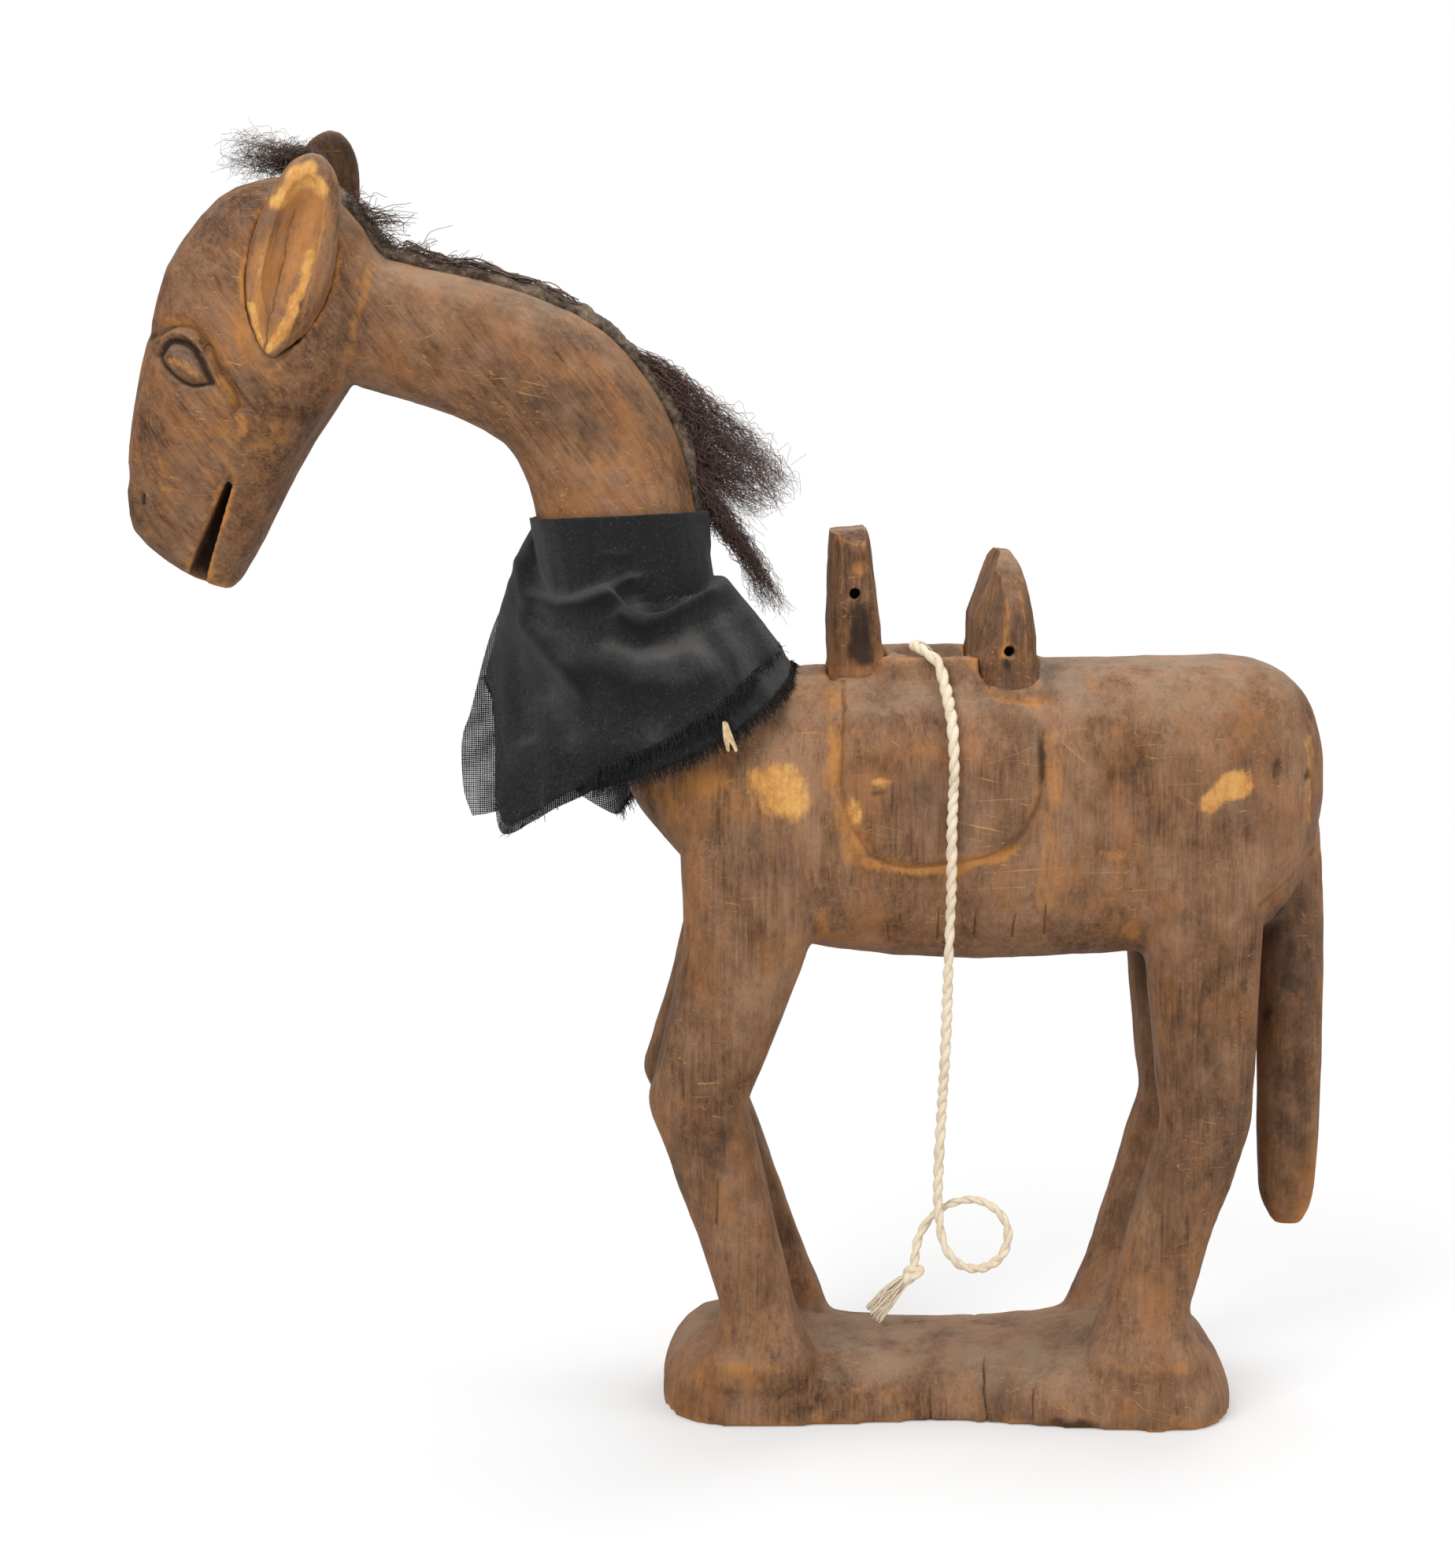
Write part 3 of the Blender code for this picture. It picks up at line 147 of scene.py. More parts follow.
def hashed(cells, seed):
    """A number from 0 to 1 for each whole-number cell."""
    i = cells.astype(np.int64)
    h = i[..., 0] * 374761393 + i[..., 1] * 668265263 + i[..., 2] * 2147483647 + seed * 144269504
    h = (h ^ (h >> 13)) * 1274126177
    h = h ^ (h >> 16)
    return (h & 0xFFFFFF) / float(0xFFFFFF)


def soft_noise(points, seed=0):
    """Smooth noise from -1 to 1, one unit across."""
    base = np.floor(points)
    f = points - base
    f = f * f * (3 - 2 * f)
    total = np.zeros(len(points))
    for corner in np.ndindex(2, 2, 2):
        share = np.where(corner, f, 1 - f)
        total += share[:, 0] * share[:, 1] * share[:, 2] * hashed(base + np.array(corner), seed)
    return 2 * total - 1


def rough_noise(points, seed=0, octaves=4):
    """Noise from -1 to 1 with finer and weaker noise added, one octave at a time."""
    total = sum(soft_noise(points * 2 ** i, seed + i) / 2 ** i for i in range(octaves))
    return total / sum(1 / 2 ** i for i in range(octaves))


def facets(points, seed=0):
    """Squared distance to the nearest of scattered points: the scallops that a gouge leaves."""
    base = np.floor(points)
    best = np.full(len(points), FACET_LIMIT)
    for step in np.ndindex(3, 3, 3):
        cell = base + np.array(step) - 1
        centre = cell + np.stack([hashed(cell, seed + k) for k in range(3)], 1)
        best = np.minimum(best, ((points - centre) ** 2).sum(1))
    return best


# Meshes

def linked(name, data):
    """A new object in the scene."""
    obj = bpy.data.objects.new(name, data)
    bpy.context.scene.collection.objects.link(obj)
    return obj


def new_object(name, points, faces):
    mesh = bpy.data.meshes.new(name)
    mesh.from_pydata([tuple(p) for p in points], [], [tuple(int(i) for i in f) for f in faces])
    mesh.update()
    return linked(name, mesh)


def grid_faces(rows, columns, closed=True, flipped=False, start=0):
    """Quads between rows of points; closed joins the end of each row to its beginning."""
    faces = []
    for i in range(rows - 1):
        a, b = start + i * columns, start + (i + 1) * columns
        for j in range(columns if closed else columns - 1):
            k = (j + 1) % columns
            faces.append((a + j, b + j, b + k, a + k) if flipped else (a + j, a + k, b + k, b + j))
    return faces


def tube_faces(rows, sides, start=0):
    """Quads between the rings of a tube, and a cap on each end."""
    last = start + (rows - 1) * sides
    caps = [tuple(range(start, start + sides))[::-1], tuple(range(last, last + sides))]
    return grid_faces(rows, sides, start=start) + caps


def shade_smooth(obj):
    obj.data.polygons.foreach_set("use_smooth", [True] * len(obj.data.polygons))


def array_of(items, key, width, kind=float):
    """One property of a mesh's points or edges, as rows of numbers."""
    out = np.empty(len(items) * width, dtype=kind)
    items.foreach_get(key, out)
    return out.reshape(-1, width)


def points_of(mesh):
    return array_of(mesh.vertices, "co", 3)


def normals_of(mesh):
    return array_of(mesh.vertices, "normal", 3)


def edges_of(mesh):
    return array_of(mesh.edges, "vertices", 2, np.int32)


def set_points(mesh, points):
    mesh.vertices.foreach_set("co", points.ravel())
    mesh.update()


def displaced(obj, heights):
    """Move each point along its normal."""
    set_points(obj.data, points_of(obj.data) + normals_of(obj.data) * heights[:, None])


def set_value(mesh, name, values):
    """Keep a number from 0 to 1 on each point, for the materials."""
    layer = mesh.attributes.new(name, "FLOAT", "POINT")
    layer.data.foreach_set("value", np.clip(values, 0, 1).astype(np.float32))


def relaxed(values, edges, rounds, strength=0.5):
    """Rows of values, evened out over neighbouring points."""
    count = np.maximum(np.bincount(edges.ravel(), minlength=len(values)), 1).astype(float)
    out = values.copy()
    for _ in range(rounds):
        total = np.zeros_like(out)
        for axis in range(out.shape[1]):
            total[:, axis] = (np.bincount(edges[:, 0], out[edges[:, 1], axis], len(out))
                              + np.bincount(edges[:, 1], out[edges[:, 0], axis], len(out)))
        out += strength * (total / count[:, None] - out)
    return out


def remeshed(name, node, voxel, rounds):
    """An even, dense copy of a CAD solid, ready for carving."""
    obj = linked(name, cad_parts[node].data.copy())
    obj.data.materials.clear()
    modifier = obj.modifiers.new("Remesh", "REMESH")
    modifier.mode = "VOXEL"
    modifier.voxel_size = voxel
    mesh = bpy.data.meshes.new_from_object(obj.evaluated_get(bpy.context.evaluated_depsgraph_get()))
    obj.modifiers.clear()
    old, obj.data = obj.data, mesh
    bpy.data.meshes.remove(old)
    set_points(mesh, relaxed(points_of(mesh), edges_of(mesh), rounds))
    shade_smooth(obj)
    return obj


def tree_of(*objects):
    """The objects' surfaces, for rays and nearest points."""
    points, faces = [], []
    for obj in objects:
        start = len(points)
        points += [v.co.copy() for v in obj.data.vertices]
        faces += [[i + start for i in p.vertices] for p in obj.data.polygons]
    return BVHTree.FromPolygons(points, faces)


def struck(tree, pixel):
    """Where the camera's ray through a pixel meets a surface, that surface's normal and the ray."""
    ray = Vector(to_world(*pixel, 0) - CAMERA_PLACE).normalized()
    hit, normal = tree.ray_cast(Vector(CAMERA_PLACE), ray)[:2]
    return hit, normal, ray


def frames_along(line):
    """Two directions across the line at each of its points, without twist."""
    heading = np.gradient(line, axis=0)
    heading /= np.linalg.norm(heading, axis=1)[:, None] + 1e-12
    start = ACROSS
    if abs(heading[0] @ start) > 0.9:
        start = np.array((1.0, 0.0, 0.0))
    across = np.zeros_like(line)
    for i, h in enumerate(heading):
        start = start - h * (start @ h)
        start /= np.linalg.norm(start) + 1e-12
        across[i] = start
    return across, np.cross(heading, across)


def tube_rings(line, radius, sides):
    across, up = frames_along(line)
    radius = np.broadcast_to(radius, len(line))
    turn = np.linspace(0, 2 * math.pi, sides, endpoint=False)
    ring = (across[:, None] * np.cos(turn)[None, :, None] + up[:, None] * np.sin(turn)[None, :, None])
    return line[:, None] + ring * radius[:, None, None]


class MeshParts:
    """Points and faces of many tubes, gathered for one object."""

    def __init__(self):
        self.points = []
        self.faces = []
        self.values = []
        self.count = 0

    def tube(self, line, radius, sides=3, value=0.0):
        rings = tube_rings(np.asarray(line), radius, sides)
        self.points.append(rings.reshape(-1, 3))
        self.values.append(np.full(len(rings) * sides, value))
        self.faces += tube_faces(len(rings), sides, self.count)
        self.count += len(rings) * sides

    def object(self, name):
        obj = new_object(name, np.vstack(self.points), self.faces)
        set_value(obj.data, "tone", np.concatenate(self.values))
        shade_smooth(obj)
        return obj


# Materials

class Shader:
    """Short calls that add and link nodes in one material or world."""

    def __init__(self, name, kind="materials", output="ShaderNodeOutputMaterial"):
        self.owner = getattr(bpy.data, kind).new(name)
        self.owner.use_nodes = True
        self.tree = self.owner.node_tree
        self.tree.nodes.clear()
        self.output = self.add(output)

    def add(self, kind, inputs=None, **settings):
        node = self.tree.nodes.new(kind)
        for key, value in settings.items():
            setattr(node, key, value)
        for key, value in (inputs or {}).items():
            self.put(node.inputs[key], value)
        return node

    def put(self, socket, value):
        """Link a socket, or set its constant; a colour gets its alpha here."""
        if isinstance(value, bpy.types.NodeSocket):
            self.tree.links.new(value, socket)
        else:
            socket.default_value = (*value, 1) if socket.type == "RGBA" else value

    def surface(self, shader):
        self.put(self.output.inputs["Surface"], shader)
        return self.owner

    def place(self):
        return self.add("ShaderNodeTexCoord").outputs["Object"]

    def mapped(self, scale, turn=(0, 0, 0), shift=(0, 0, 0)):
        turned = self.add("ShaderNodeMapping", {"Vector": self.place(), "Rotation": turn, "Location": shift})
        return self.add("ShaderNodeMapping", {"Vector": turned.outputs[0], "Scale": scale}).outputs[0]

    def noise(self, vector, scale=1.0, detail=4.0, rough=0.55, distortion=0.0):
        return self.add("ShaderNodeTexNoise", {
            "Vector": vector, "Scale": scale, "Detail": detail, "Roughness": rough,
            "Distortion": distortion}).outputs["Fac"]

    def math(self, kind, a, b=0.0):
        return self.add("ShaderNodeMath", {0: a, 1: b}, operation=kind).outputs[0]

    def weighted(self, *terms, base=0.0):
        """The sum of values, each times its weight."""
        for value, weight in terms:
            base = self.math("ADD", self.math("MULTIPLY", value, weight), base)
        return base

    def spread(self, value, low, high, to_low=0.0, to_high=1.0):
        """The value's smooth step between two limits."""
        return self.add("ShaderNodeMapRange", {
            "Value": value, "From Min": low, "From Max": high, "To Min": to_low,
            "To Max": to_high}, interpolation_type="SMOOTHSTEP").outputs["Result"]

    def ramp(self, value, stops):
        node = self.add("ShaderNodeValToRGB", {"Fac": value})
        elements = node.color_ramp.elements
        while len(elements) < len(stops):
            elements.new(0.5)
        for element, (at, colour) in zip(elements, stops):
            element.position = at
            element.color = (*colour, 1)
        return node.outputs["Color"]

    def mix(self, factor, a, b):
        return self.add("ShaderNodeMix", {0: factor, 6: a, 7: b}, data_type="RGBA").outputs[2]

    def value(self, name):
        return self.add("ShaderNodeAttribute", attribute_name=name).outputs["Fac"]

    def facing_up(self):
        normal = self.add("ShaderNodeNewGeometry").outputs["Normal"]
        return self.add("ShaderNodeSeparateXYZ", {0: normal}).outputs["Z"]

    def bump(self, height, distance, strength=1.0, below=None):
        inputs = {"Height": height, "Distance": distance, "Strength": strength}
        if below is not None:
            inputs["Normal"] = below
        return self.add("ShaderNodeBump", inputs).outputs["Normal"]

    def finish(self, colour, roughness, normal=None, alpha=None, specular=0.4, sheen=0.0):
        inputs = {"Base Color": colour, "Roughness": roughness, "Specular IOR Level": specular,
                  "Sheen Weight": sheen}
        for key, value in (("Normal", normal), ("Alpha", alpha)):
            if value is not None:
                inputs[key] = value
        return self.surface(self.add("ShaderNodeBsdfPrincipled", inputs).outputs["BSDF"])


WOOD_DEEP = (0.042, 0.019, 0.010)
WOOD_DARK = (0.100, 0.048, 0.025)
WOOD_MID = (0.193, 0.099, 0.052)
WOOD_LIGHT = (0.300, 0.168, 0.097)
WOOD_WARM = (0.360, 0.152, 0.052)
WOOD_WORN = (0.500, 0.215, 0.056)
WOOD_RAW = (0.720, 0.400, 0.120)
WOOD_SMOKE = (0.062, 0.043, 0.034)
# Colour of the painted shade in hollows and grooves, and of stains.
WOOD_SHADE_AND_STAIN = (0.014, 0.009, 0.007)
DUST = (0.33, 0.255, 0.185)
SCRATCH = (0.52, 0.27, 0.10)

# Scratches: the way they run, a shift that keeps each set apart, and the noise level at which one shows.
SCRATCHES = [(1.35, 3.1, 0.67), (-1.2, 8.7, 0.68), (0.85, 5.3, 0.685), (1.62, 1.7, 0.67)]


def wood_material(name, lean=0.0, tone=0.0, torn=1.6):
    """Old carved hardwood: lean turns the grain, tone lightens it, torn roughens the raw patches."""
    s = Shader(name)
    turn = (0, lean, 0)
    grain = s.noise(s.mapped((420, 420, 20), turn), detail=6, rough=0.66, distortion=0.3)
    fibre = s.noise(s.mapped((900, 900, 40), turn), detail=3, rough=0.65)
    broad = s.noise(s.mapped((22, 22, 13), turn), detail=7, rough=0.66)
    cloud = s.noise(s.mapped((70, 70, 52), turn, (4, 2, 7)), detail=8, rough=0.74)
    level = s.weighted((grain, 0.28), (fibre, 0.28), (broad, 0.60), (cloud, 0.50), base=tone - 0.31)
    colour = s.ramp(level, [(0.29, WOOD_DEEP), (0.39, WOOD_DARK), (0.49, WOOD_MID), (0.63, WOOD_LIGHT)])
    warm = s.noise(s.mapped((38, 38, 22), turn, (9, 5, 1)), detail=7, rough=0.72)
    colour = s.mix(s.spread(warm, 0.46, 0.68, 0.0, 0.6), colour, WOOD_WARM)
    smoke = s.noise(s.mapped((19, 19, 12), turn, (2, 8, 3)), detail=6, rough=0.68)
    colour = s.mix(s.spread(smoke, 0.50, 0.68, 0.0, 0.50), colour, WOOD_SMOKE)
    pits = s.noise(s.place(), scale=800, detail=2)
    colour = s.mix(s.spread(pits, 0.60, 0.70, 0.0, 0.28), colour, WOOD_DEEP)

    # Dust lies on what faces up.
    up = s.spread(s.facing_up(), 0.2, 0.95)
    film = s.spread(s.noise(s.place(), scale=46, detail=6, rough=0.7), 0.32, 0.64)
    dusty = s.math("MULTIPLY", s.math("MULTIPLY", up, film), 0.52)
    colour = s.mix(dusty, colour, DUST)

    # Worn edges and raw patches, ragged along the grain.
    patchy = s.noise(s.mapped((90, 90, 55), turn), detail=8, rough=0.82)
    streaky = s.weighted((patchy, 0.8), (grain, 0.2))
    ragged = s.math("SUBTRACT", streaky, 0.5)
    worn = s.weighted((ragged, 3.0), base=s.value("wear"))
    colour = s.mix(s.spread(worn, 0.20, 1.15, 0.0, 0.85), colour, WOOD_WORN)
    raw = s.weighted((ragged, torn), base=s.value("patch"))
    bare = s.mix(s.spread(streaky, 0.40, 0.62), WOOD_WORN, WOOD_RAW)
    colour = s.mix(s.spread(raw, 0.28, 0.95, 0.0, 0.92), colour, bare)

    # Fine scratches, gathered in places.
    scratch = 0.0
    for angle, shift, rare in SCRATCHES:
        stretched = s.mapped((950, 950, 11), (0.2, angle, 0.3), (shift, shift, shift))
        line = s.noise(stretched, detail=2, rough=0.5, distortion=0.25)
        scratch = s.math("MAXIMUM", scratch, s.spread(line, rare, rare + 0.04))
    gather = s.spread(s.noise(s.place(), scale=26, detail=3), 0.40, 0.60)
    scratch = s.math("MULTIPLY", scratch, gather)
    colour = s.mix(s.math("MULTIPLY", scratch, 0.62), colour, SCRATCH)

    # Painted shade in hollows and grooves, and stains; the stain value also carries painted shade in places.
    crease_shade = s.weighted((ragged, 0.8), base=s.value("crease"))
    stain_and_shade = s.weighted((ragged, 2.0), base=s.value("stain_and_shade"))
    dark = s.math("MAXIMUM", s.spread(crease_shade, 0.14, 0.95, 0.0, 0.88), s.spread(stain_and_shade, 0.16, 1.0, 0.0, 0.82))
    colour = s.mix(dark, colour, WOOD_SHADE_AND_STAIN)

    normal = s.bump(grain, 0.5 * MM, 0.5)
    normal = s.bump(fibre, 0.25 * MM, 0.5, normal)
    normal = s.bump(cloud, 1.4 * MM, 0.4, normal)
    normal = s.bump(s.math("MULTIPLY", scratch, -1.0), 0.25 * MM, 0.6, normal)
    rough = s.weighted((dusty, 0.4), (broad, 0.25), base=0.52)
    return s.finish(colour, rough, normal, specular=0.14)


def sliver_material():
    s = Shader("pale_split_wood")
    grain = s.noise(s.mapped((700, 700, 60), (0, 0.5, 0)), detail=5, rough=0.6)
    colour = s.ramp(grain, [(0.3, (0.34, 0.21, 0.10)), (0.6, (0.62, 0.45, 0.26)), (0.8, (0.74, 0.6, 0.4))])
    return s.finish(colour, 0.7, s.bump(grain, 0.3 * MM, 0.7))


def hide_material():
    s = Shader("dried_hide")
    crinkle = s.noise(s.place(), scale=420, detail=6, rough=0.68)
    broad = s.noise(s.place(), scale=70, detail=4)
    level = s.weighted((crinkle, 0.6), (broad, 0.4))
    colour = s.ramp(level, [(0.34, (0.012, 0.008, 0.007)), (0.46, (0.075, 0.050, 0.034)),
                            (0.58, (0.175, 0.125, 0.082)), (0.72, (0.32, 0.25, 0.175))])
    # Painted shade in the hide's crinkles and between its cells.
    colour = s.mix(s.math("MULTIPLY", s.value("crease"), 0.85), colour, (0.010, 0.007, 0.006))
    return s.finish(colour, 0.78, s.bump(crinkle, 1.2 * MM, 0.8))


def hair_material(name, dark, light):
    s = Shader(name)
    streak = s.noise(s.place(), scale=260, detail=3)
    level = s.weighted((s.value("tone"), 0.75), (streak, 0.3))
    return s.finish(s.ramp(level, [(0.15, dark), (0.85, light)]), 0.5, specular=0.5)


WEAVE_PITCH = 0.8 * MM


def scarf_material(name):
    """Charcoal gauze: a fine plain weave, dusty and with a painted highlight on its ridges, painted shade in
    its creases, and see-through where sheer.
    """
    s = Shader(name)
    split = s.add("ShaderNodeSeparateXYZ", {0: s.add("ShaderNodeUVMap", uv_map="weave").outputs["UV"]})
    threads = []
    for axis, pitch in (("X", WEAVE_PITCH), ("Y", 1.12 * WEAVE_PITCH)):
        wobble = s.noise(s.place(), scale=300, detail=2)
        turn = s.weighted((split.outputs[axis], 2 * math.pi / pitch), (wobble, 2.2))
        threads.append(s.weighted((s.math("SINE", turn), 0.5), base=0.5))
    weave = s.math("MAXIMUM", *threads)
    slub = s.noise(s.place(), scale=420, detail=4, rough=0.7)
    broad = s.noise(s.place(), scale=38, detail=4, rough=0.6)
    mottle = s.noise(s.place(), scale=130, detail=8, rough=0.75)
    level = s.weighted((weave, 0.42), (slub, 0.5))
    colour = s.ramp(level, [(0.20, (0.0030, 0.0030, 0.0034)), (0.52, (0.0082, 0.0084, 0.0089)),
                            (0.85, (0.034, 0.034, 0.035))])

    # Dust and painted highlight on ridges and upper sides, then lint, then painted shade in the creases.
    up = s.spread(s.facing_up(), 0.05, 0.9)
    ridge_dust_and_highlight = s.weighted((up, 0.55), (s.value("ridge_dust_and_highlight"), 0.9))
    grime = s.weighted((broad, 0.55), (s.math("ADD", mottle, slub), 0.45))
    dusty = s.spread(s.math("ADD", ridge_dust_and_highlight, grime), 0.74, 2.1)
    colour = s.mix(s.math("MULTIPLY", dusty, 0.60), colour, (0.110, 0.104, 0.095))
    lint = s.spread(s.noise(s.place(), scale=1100, detail=2), 0.62, 0.72, 0.0, 0.35)
    colour = s.mix(lint, colour, (0.16, 0.155, 0.145))
    colour = s.mix(s.math("MULTIPLY", s.value("crease"), 0.85), colour, (0.0022, 0.0022, 0.0026))

    normal = s.bump(slub, 0.5 * MM, 0.5, s.bump(weave, 0.35 * MM, 0.7))
    thread = s.spread(s.weighted((slub, 0.5), base=weave), 0.72, 0.94)
    cover = s.math("MAXIMUM", thread, s.math("SUBTRACT", 1.0, s.value("sheer")))
    return s.finish(colour, 0.92, normal, cover, specular=0.15, sheen=0.15)


def thread_material(name, dark, light):
    s = Shader(name)
    colour = s.ramp(s.value("tone"), [(0.0, dark), (1.0, light)])
    fuzz = s.noise(s.place(), scale=1500, detail=2)
    return s.finish(colour, 0.9, s.bump(fuzz, 0.2 * MM, 0.4), specular=0.2)


def cotton_material():
    s = Shader("cream_cotton")
    fibre = s.noise(s.place(), scale=1600, detail=3, rough=0.6)
    broad = s.noise(s.place(), scale=90, detail=4)
    level = s.weighted((fibre, 0.5), (broad, 0.5))
    colour = s.ramp(level, [(0.30, (0.54, 0.42, 0.27)), (0.50, (0.78, 0.66, 0.49)),
                            (0.75, (0.88, 0.79, 0.63))])
    # Painted shade where the crease value is high: between the cord's plies; on the knot and tassel that
    # value is random noise.
    colour = s.mix(s.math("MULTIPLY", s.value("crease"), 0.6), colour, (0.42, 0.29, 0.16))
    return s.finish(colour, 0.9, s.bump(fibre, 0.4 * MM, 0.7), specular=0.2, sheen=0.2)


def dress(obj, made, slot, *nodes):
    """Give a piece its material and its place in the frame."""
    obj.data.materials.clear()
    obj.data.materials.append(made)
    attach(obj, "root")
    if nodes:
        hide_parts(*nodes)
    return obj


# Wood

BODY_VOXEL, HEAD_VOXEL, BOW_VOXEL, EAR_VOXEL = 2.45 * MM, 1.5 * MM, 0.95 * MM, 0.8 * MM
REFINED_PIXELS = 5
# Heights at which the saddle bows' shaved faces begin, and over which they deepen.
PLANED_FROM, PLANED_FADE = 344 * MM, 24 * MM
# Heights between which the legs' inner faces get painted shade.
LEG_HEIGHTS = (60 * MM, 240 * MM)


def near_pixels(points):
    """Pixels of the points, with the far side seen in its mirror image on the near side."""
    near = points.copy()
    near[:, 1] = -np.abs(near[:, 1])
    return to_pixels(near)


def line_distance(pixels, line):
    """Distance from each pixel to the nearest point of a line of pixels."""
    line = np.asarray(line, float)
    best = np.full(len(pixels), np.inf)
    for a, b in zip(line[:-1], line[1:]):
        d = b - a
        t = np.clip(((pixels - a) @ d) / (d @ d), 0, 1)
        best = np.minimum(best, np.linalg.norm(pixels - a - t[:, None] * d, axis=1))
    return best


def outward(points, normals):
    """How far a surface faces away from the middle plane, so that inner faces take no marks."""
    side = np.where(points[:, 1] <= 0, -1.0, 1.0)
    return np.clip(normals[:, 1] * side * 2, 0, 1)


def spot(pixels, at, size, edge):
    """1 inside an oval of pixels, falling off at its edge."""
    r = np.hypot((pixels[:, 0] - at[0]) / size[0], (pixels[:, 1] - at[1]) / size[1])
    return np.clip((1 + edge - r) / (2 * edge), 0, 1)


def marked(pixels, place, size):
    """A mark on the surface: an oval round one pixel, or a band of that width along a line of pixels."""
    if isinstance(place, list):
        return np.clip(1.5 - line_distance(pixels, place) / size, 0, 1)
    return spot(pixels, place, size, 0.5)


def refined(obj, near, cuts):
    """Split the faces near the marks, so that narrow cuts keep their edges."""
    shape = bmesh.new()
    shape.from_mesh(obj.data)
    edges = [e for e in shape.edges if near[e.verts[0].index] and near[e.verts[1].index]]
    bmesh.ops.subdivide_edges(shape, edges=edges, cuts=cuts, use_grid_fill=True)
    shape.to_mesh(obj.data)
    shape.free()
    shade_smooth(obj)


def carve(obj, gouge, depth, seed, grooves=(), ridges=(), cuts=0):
    """Cut gouge scallops, waviness and the grooves seen in the photograph into a dense solid.

    It gives back how dark each groove's painted shade is, and how far the worn wood beside it reaches.
    """
    mesh = obj.data
    if grooves:
        points = points_of(mesh)
        pixels = near_pixels(points)
        away = np.min([line_distance(pixels, line) - 1.6 * width for line, width, _, _ in grooves], axis=0)
        refined(obj, (away < REFINED_PIXELS) & (outward(points, normals_of(mesh)) > 0.1), cuts)
    points, normals = points_of(mesh), normals_of(mesh)
    floor_fade = np.clip((points[:, 2] - 1.0 * MM) / (4 * MM), 0, 1)
    move = depth * (facets(points * np.array((1, 1, 0.45)) / gouge, seed) - 0.45)
    move += 0.5 * depth * rough_noise(points / (18 * MM), seed + 3, 3)
    move += 0.12 * MM * rough_noise(points * np.array((1, 1, 0.2)) / (2.5 * MM), seed + 9, 2)
    pixels = near_pixels(points)
    facing = outward(points, normals)
    cut, dark, halo = (np.zeros(len(points)) for _ in range(3))
    wander = pixels + 3 * np.stack([rough_noise(points / (12 * MM), seed + k) for k in (13, 14)], 1)
    for line, width, deep, shade in grooves:
        away = line_distance(wander, smooth_line(line, 5) if len(line) > 2 else line)
        cut = np.maximum(cut, deep * MM * np.exp(-(away / width) ** 2))
        # Painted shade along each groove, darkest in its middle.
        dark = np.maximum(dark, shade * np.exp(-(away / (0.6 * width)) ** 2))
        halo = np.maximum(halo, np.clip(1.4 - away / (2.6 * width), 0, 1) * (1.1 - shade))
    for line, width, high in ridges:
        cut -= high * MM * np.exp(-(line_distance(pixels, line) / width) ** 2)
    points = points + normals * ((move * floor_fade - cut * facing)[:, None])
    points[:, 2] = np.maximum(points[:, 2], 0)
    set_points(mesh, points)
    return dark * facing, halo * facing


def healed(obj, at, size):
    """Smooth away a pit round one pixel."""
    points = points_of(obj.data)
    share = spot(near_pixels(points), at, size, 0.4)[:, None]
    set_points(obj.data, points + (relaxed(points, edges_of(obj.data), 120) - points) * share)


def planed(obj, planes):
    """Shave flat faces onto a saddle bow, above the saddle: each is a point in mm and the way it faces."""
    points = points_of(obj.data)
    mirror = np.ones_like(points)
    mirror[:, 1] = np.where(points[:, 1] > 0, -1, 1)
    near = points * mirror
    clear = np.clip((near[:, 2] - PLANED_FROM) / PLANED_FADE, 0, 1)
    for at, way in planes:
        way = np.array(way) / np.linalg.norm(way)
        over = np.maximum((near - np.array(at) * MM) @ way, 0) * clear
        near = near - over[:, None] * way
    set_points(obj.data, near * mirror)


def swollen(obj, wood, reach, amount):
    """Let a piece fill its pocket where it enters the other wood."""
    gaps = np.array([wood.find_nearest(Vector(p))[3] for p in points_of(obj.data)])
    displaced(obj, amount * np.exp(-(gaps / reach) ** 2))


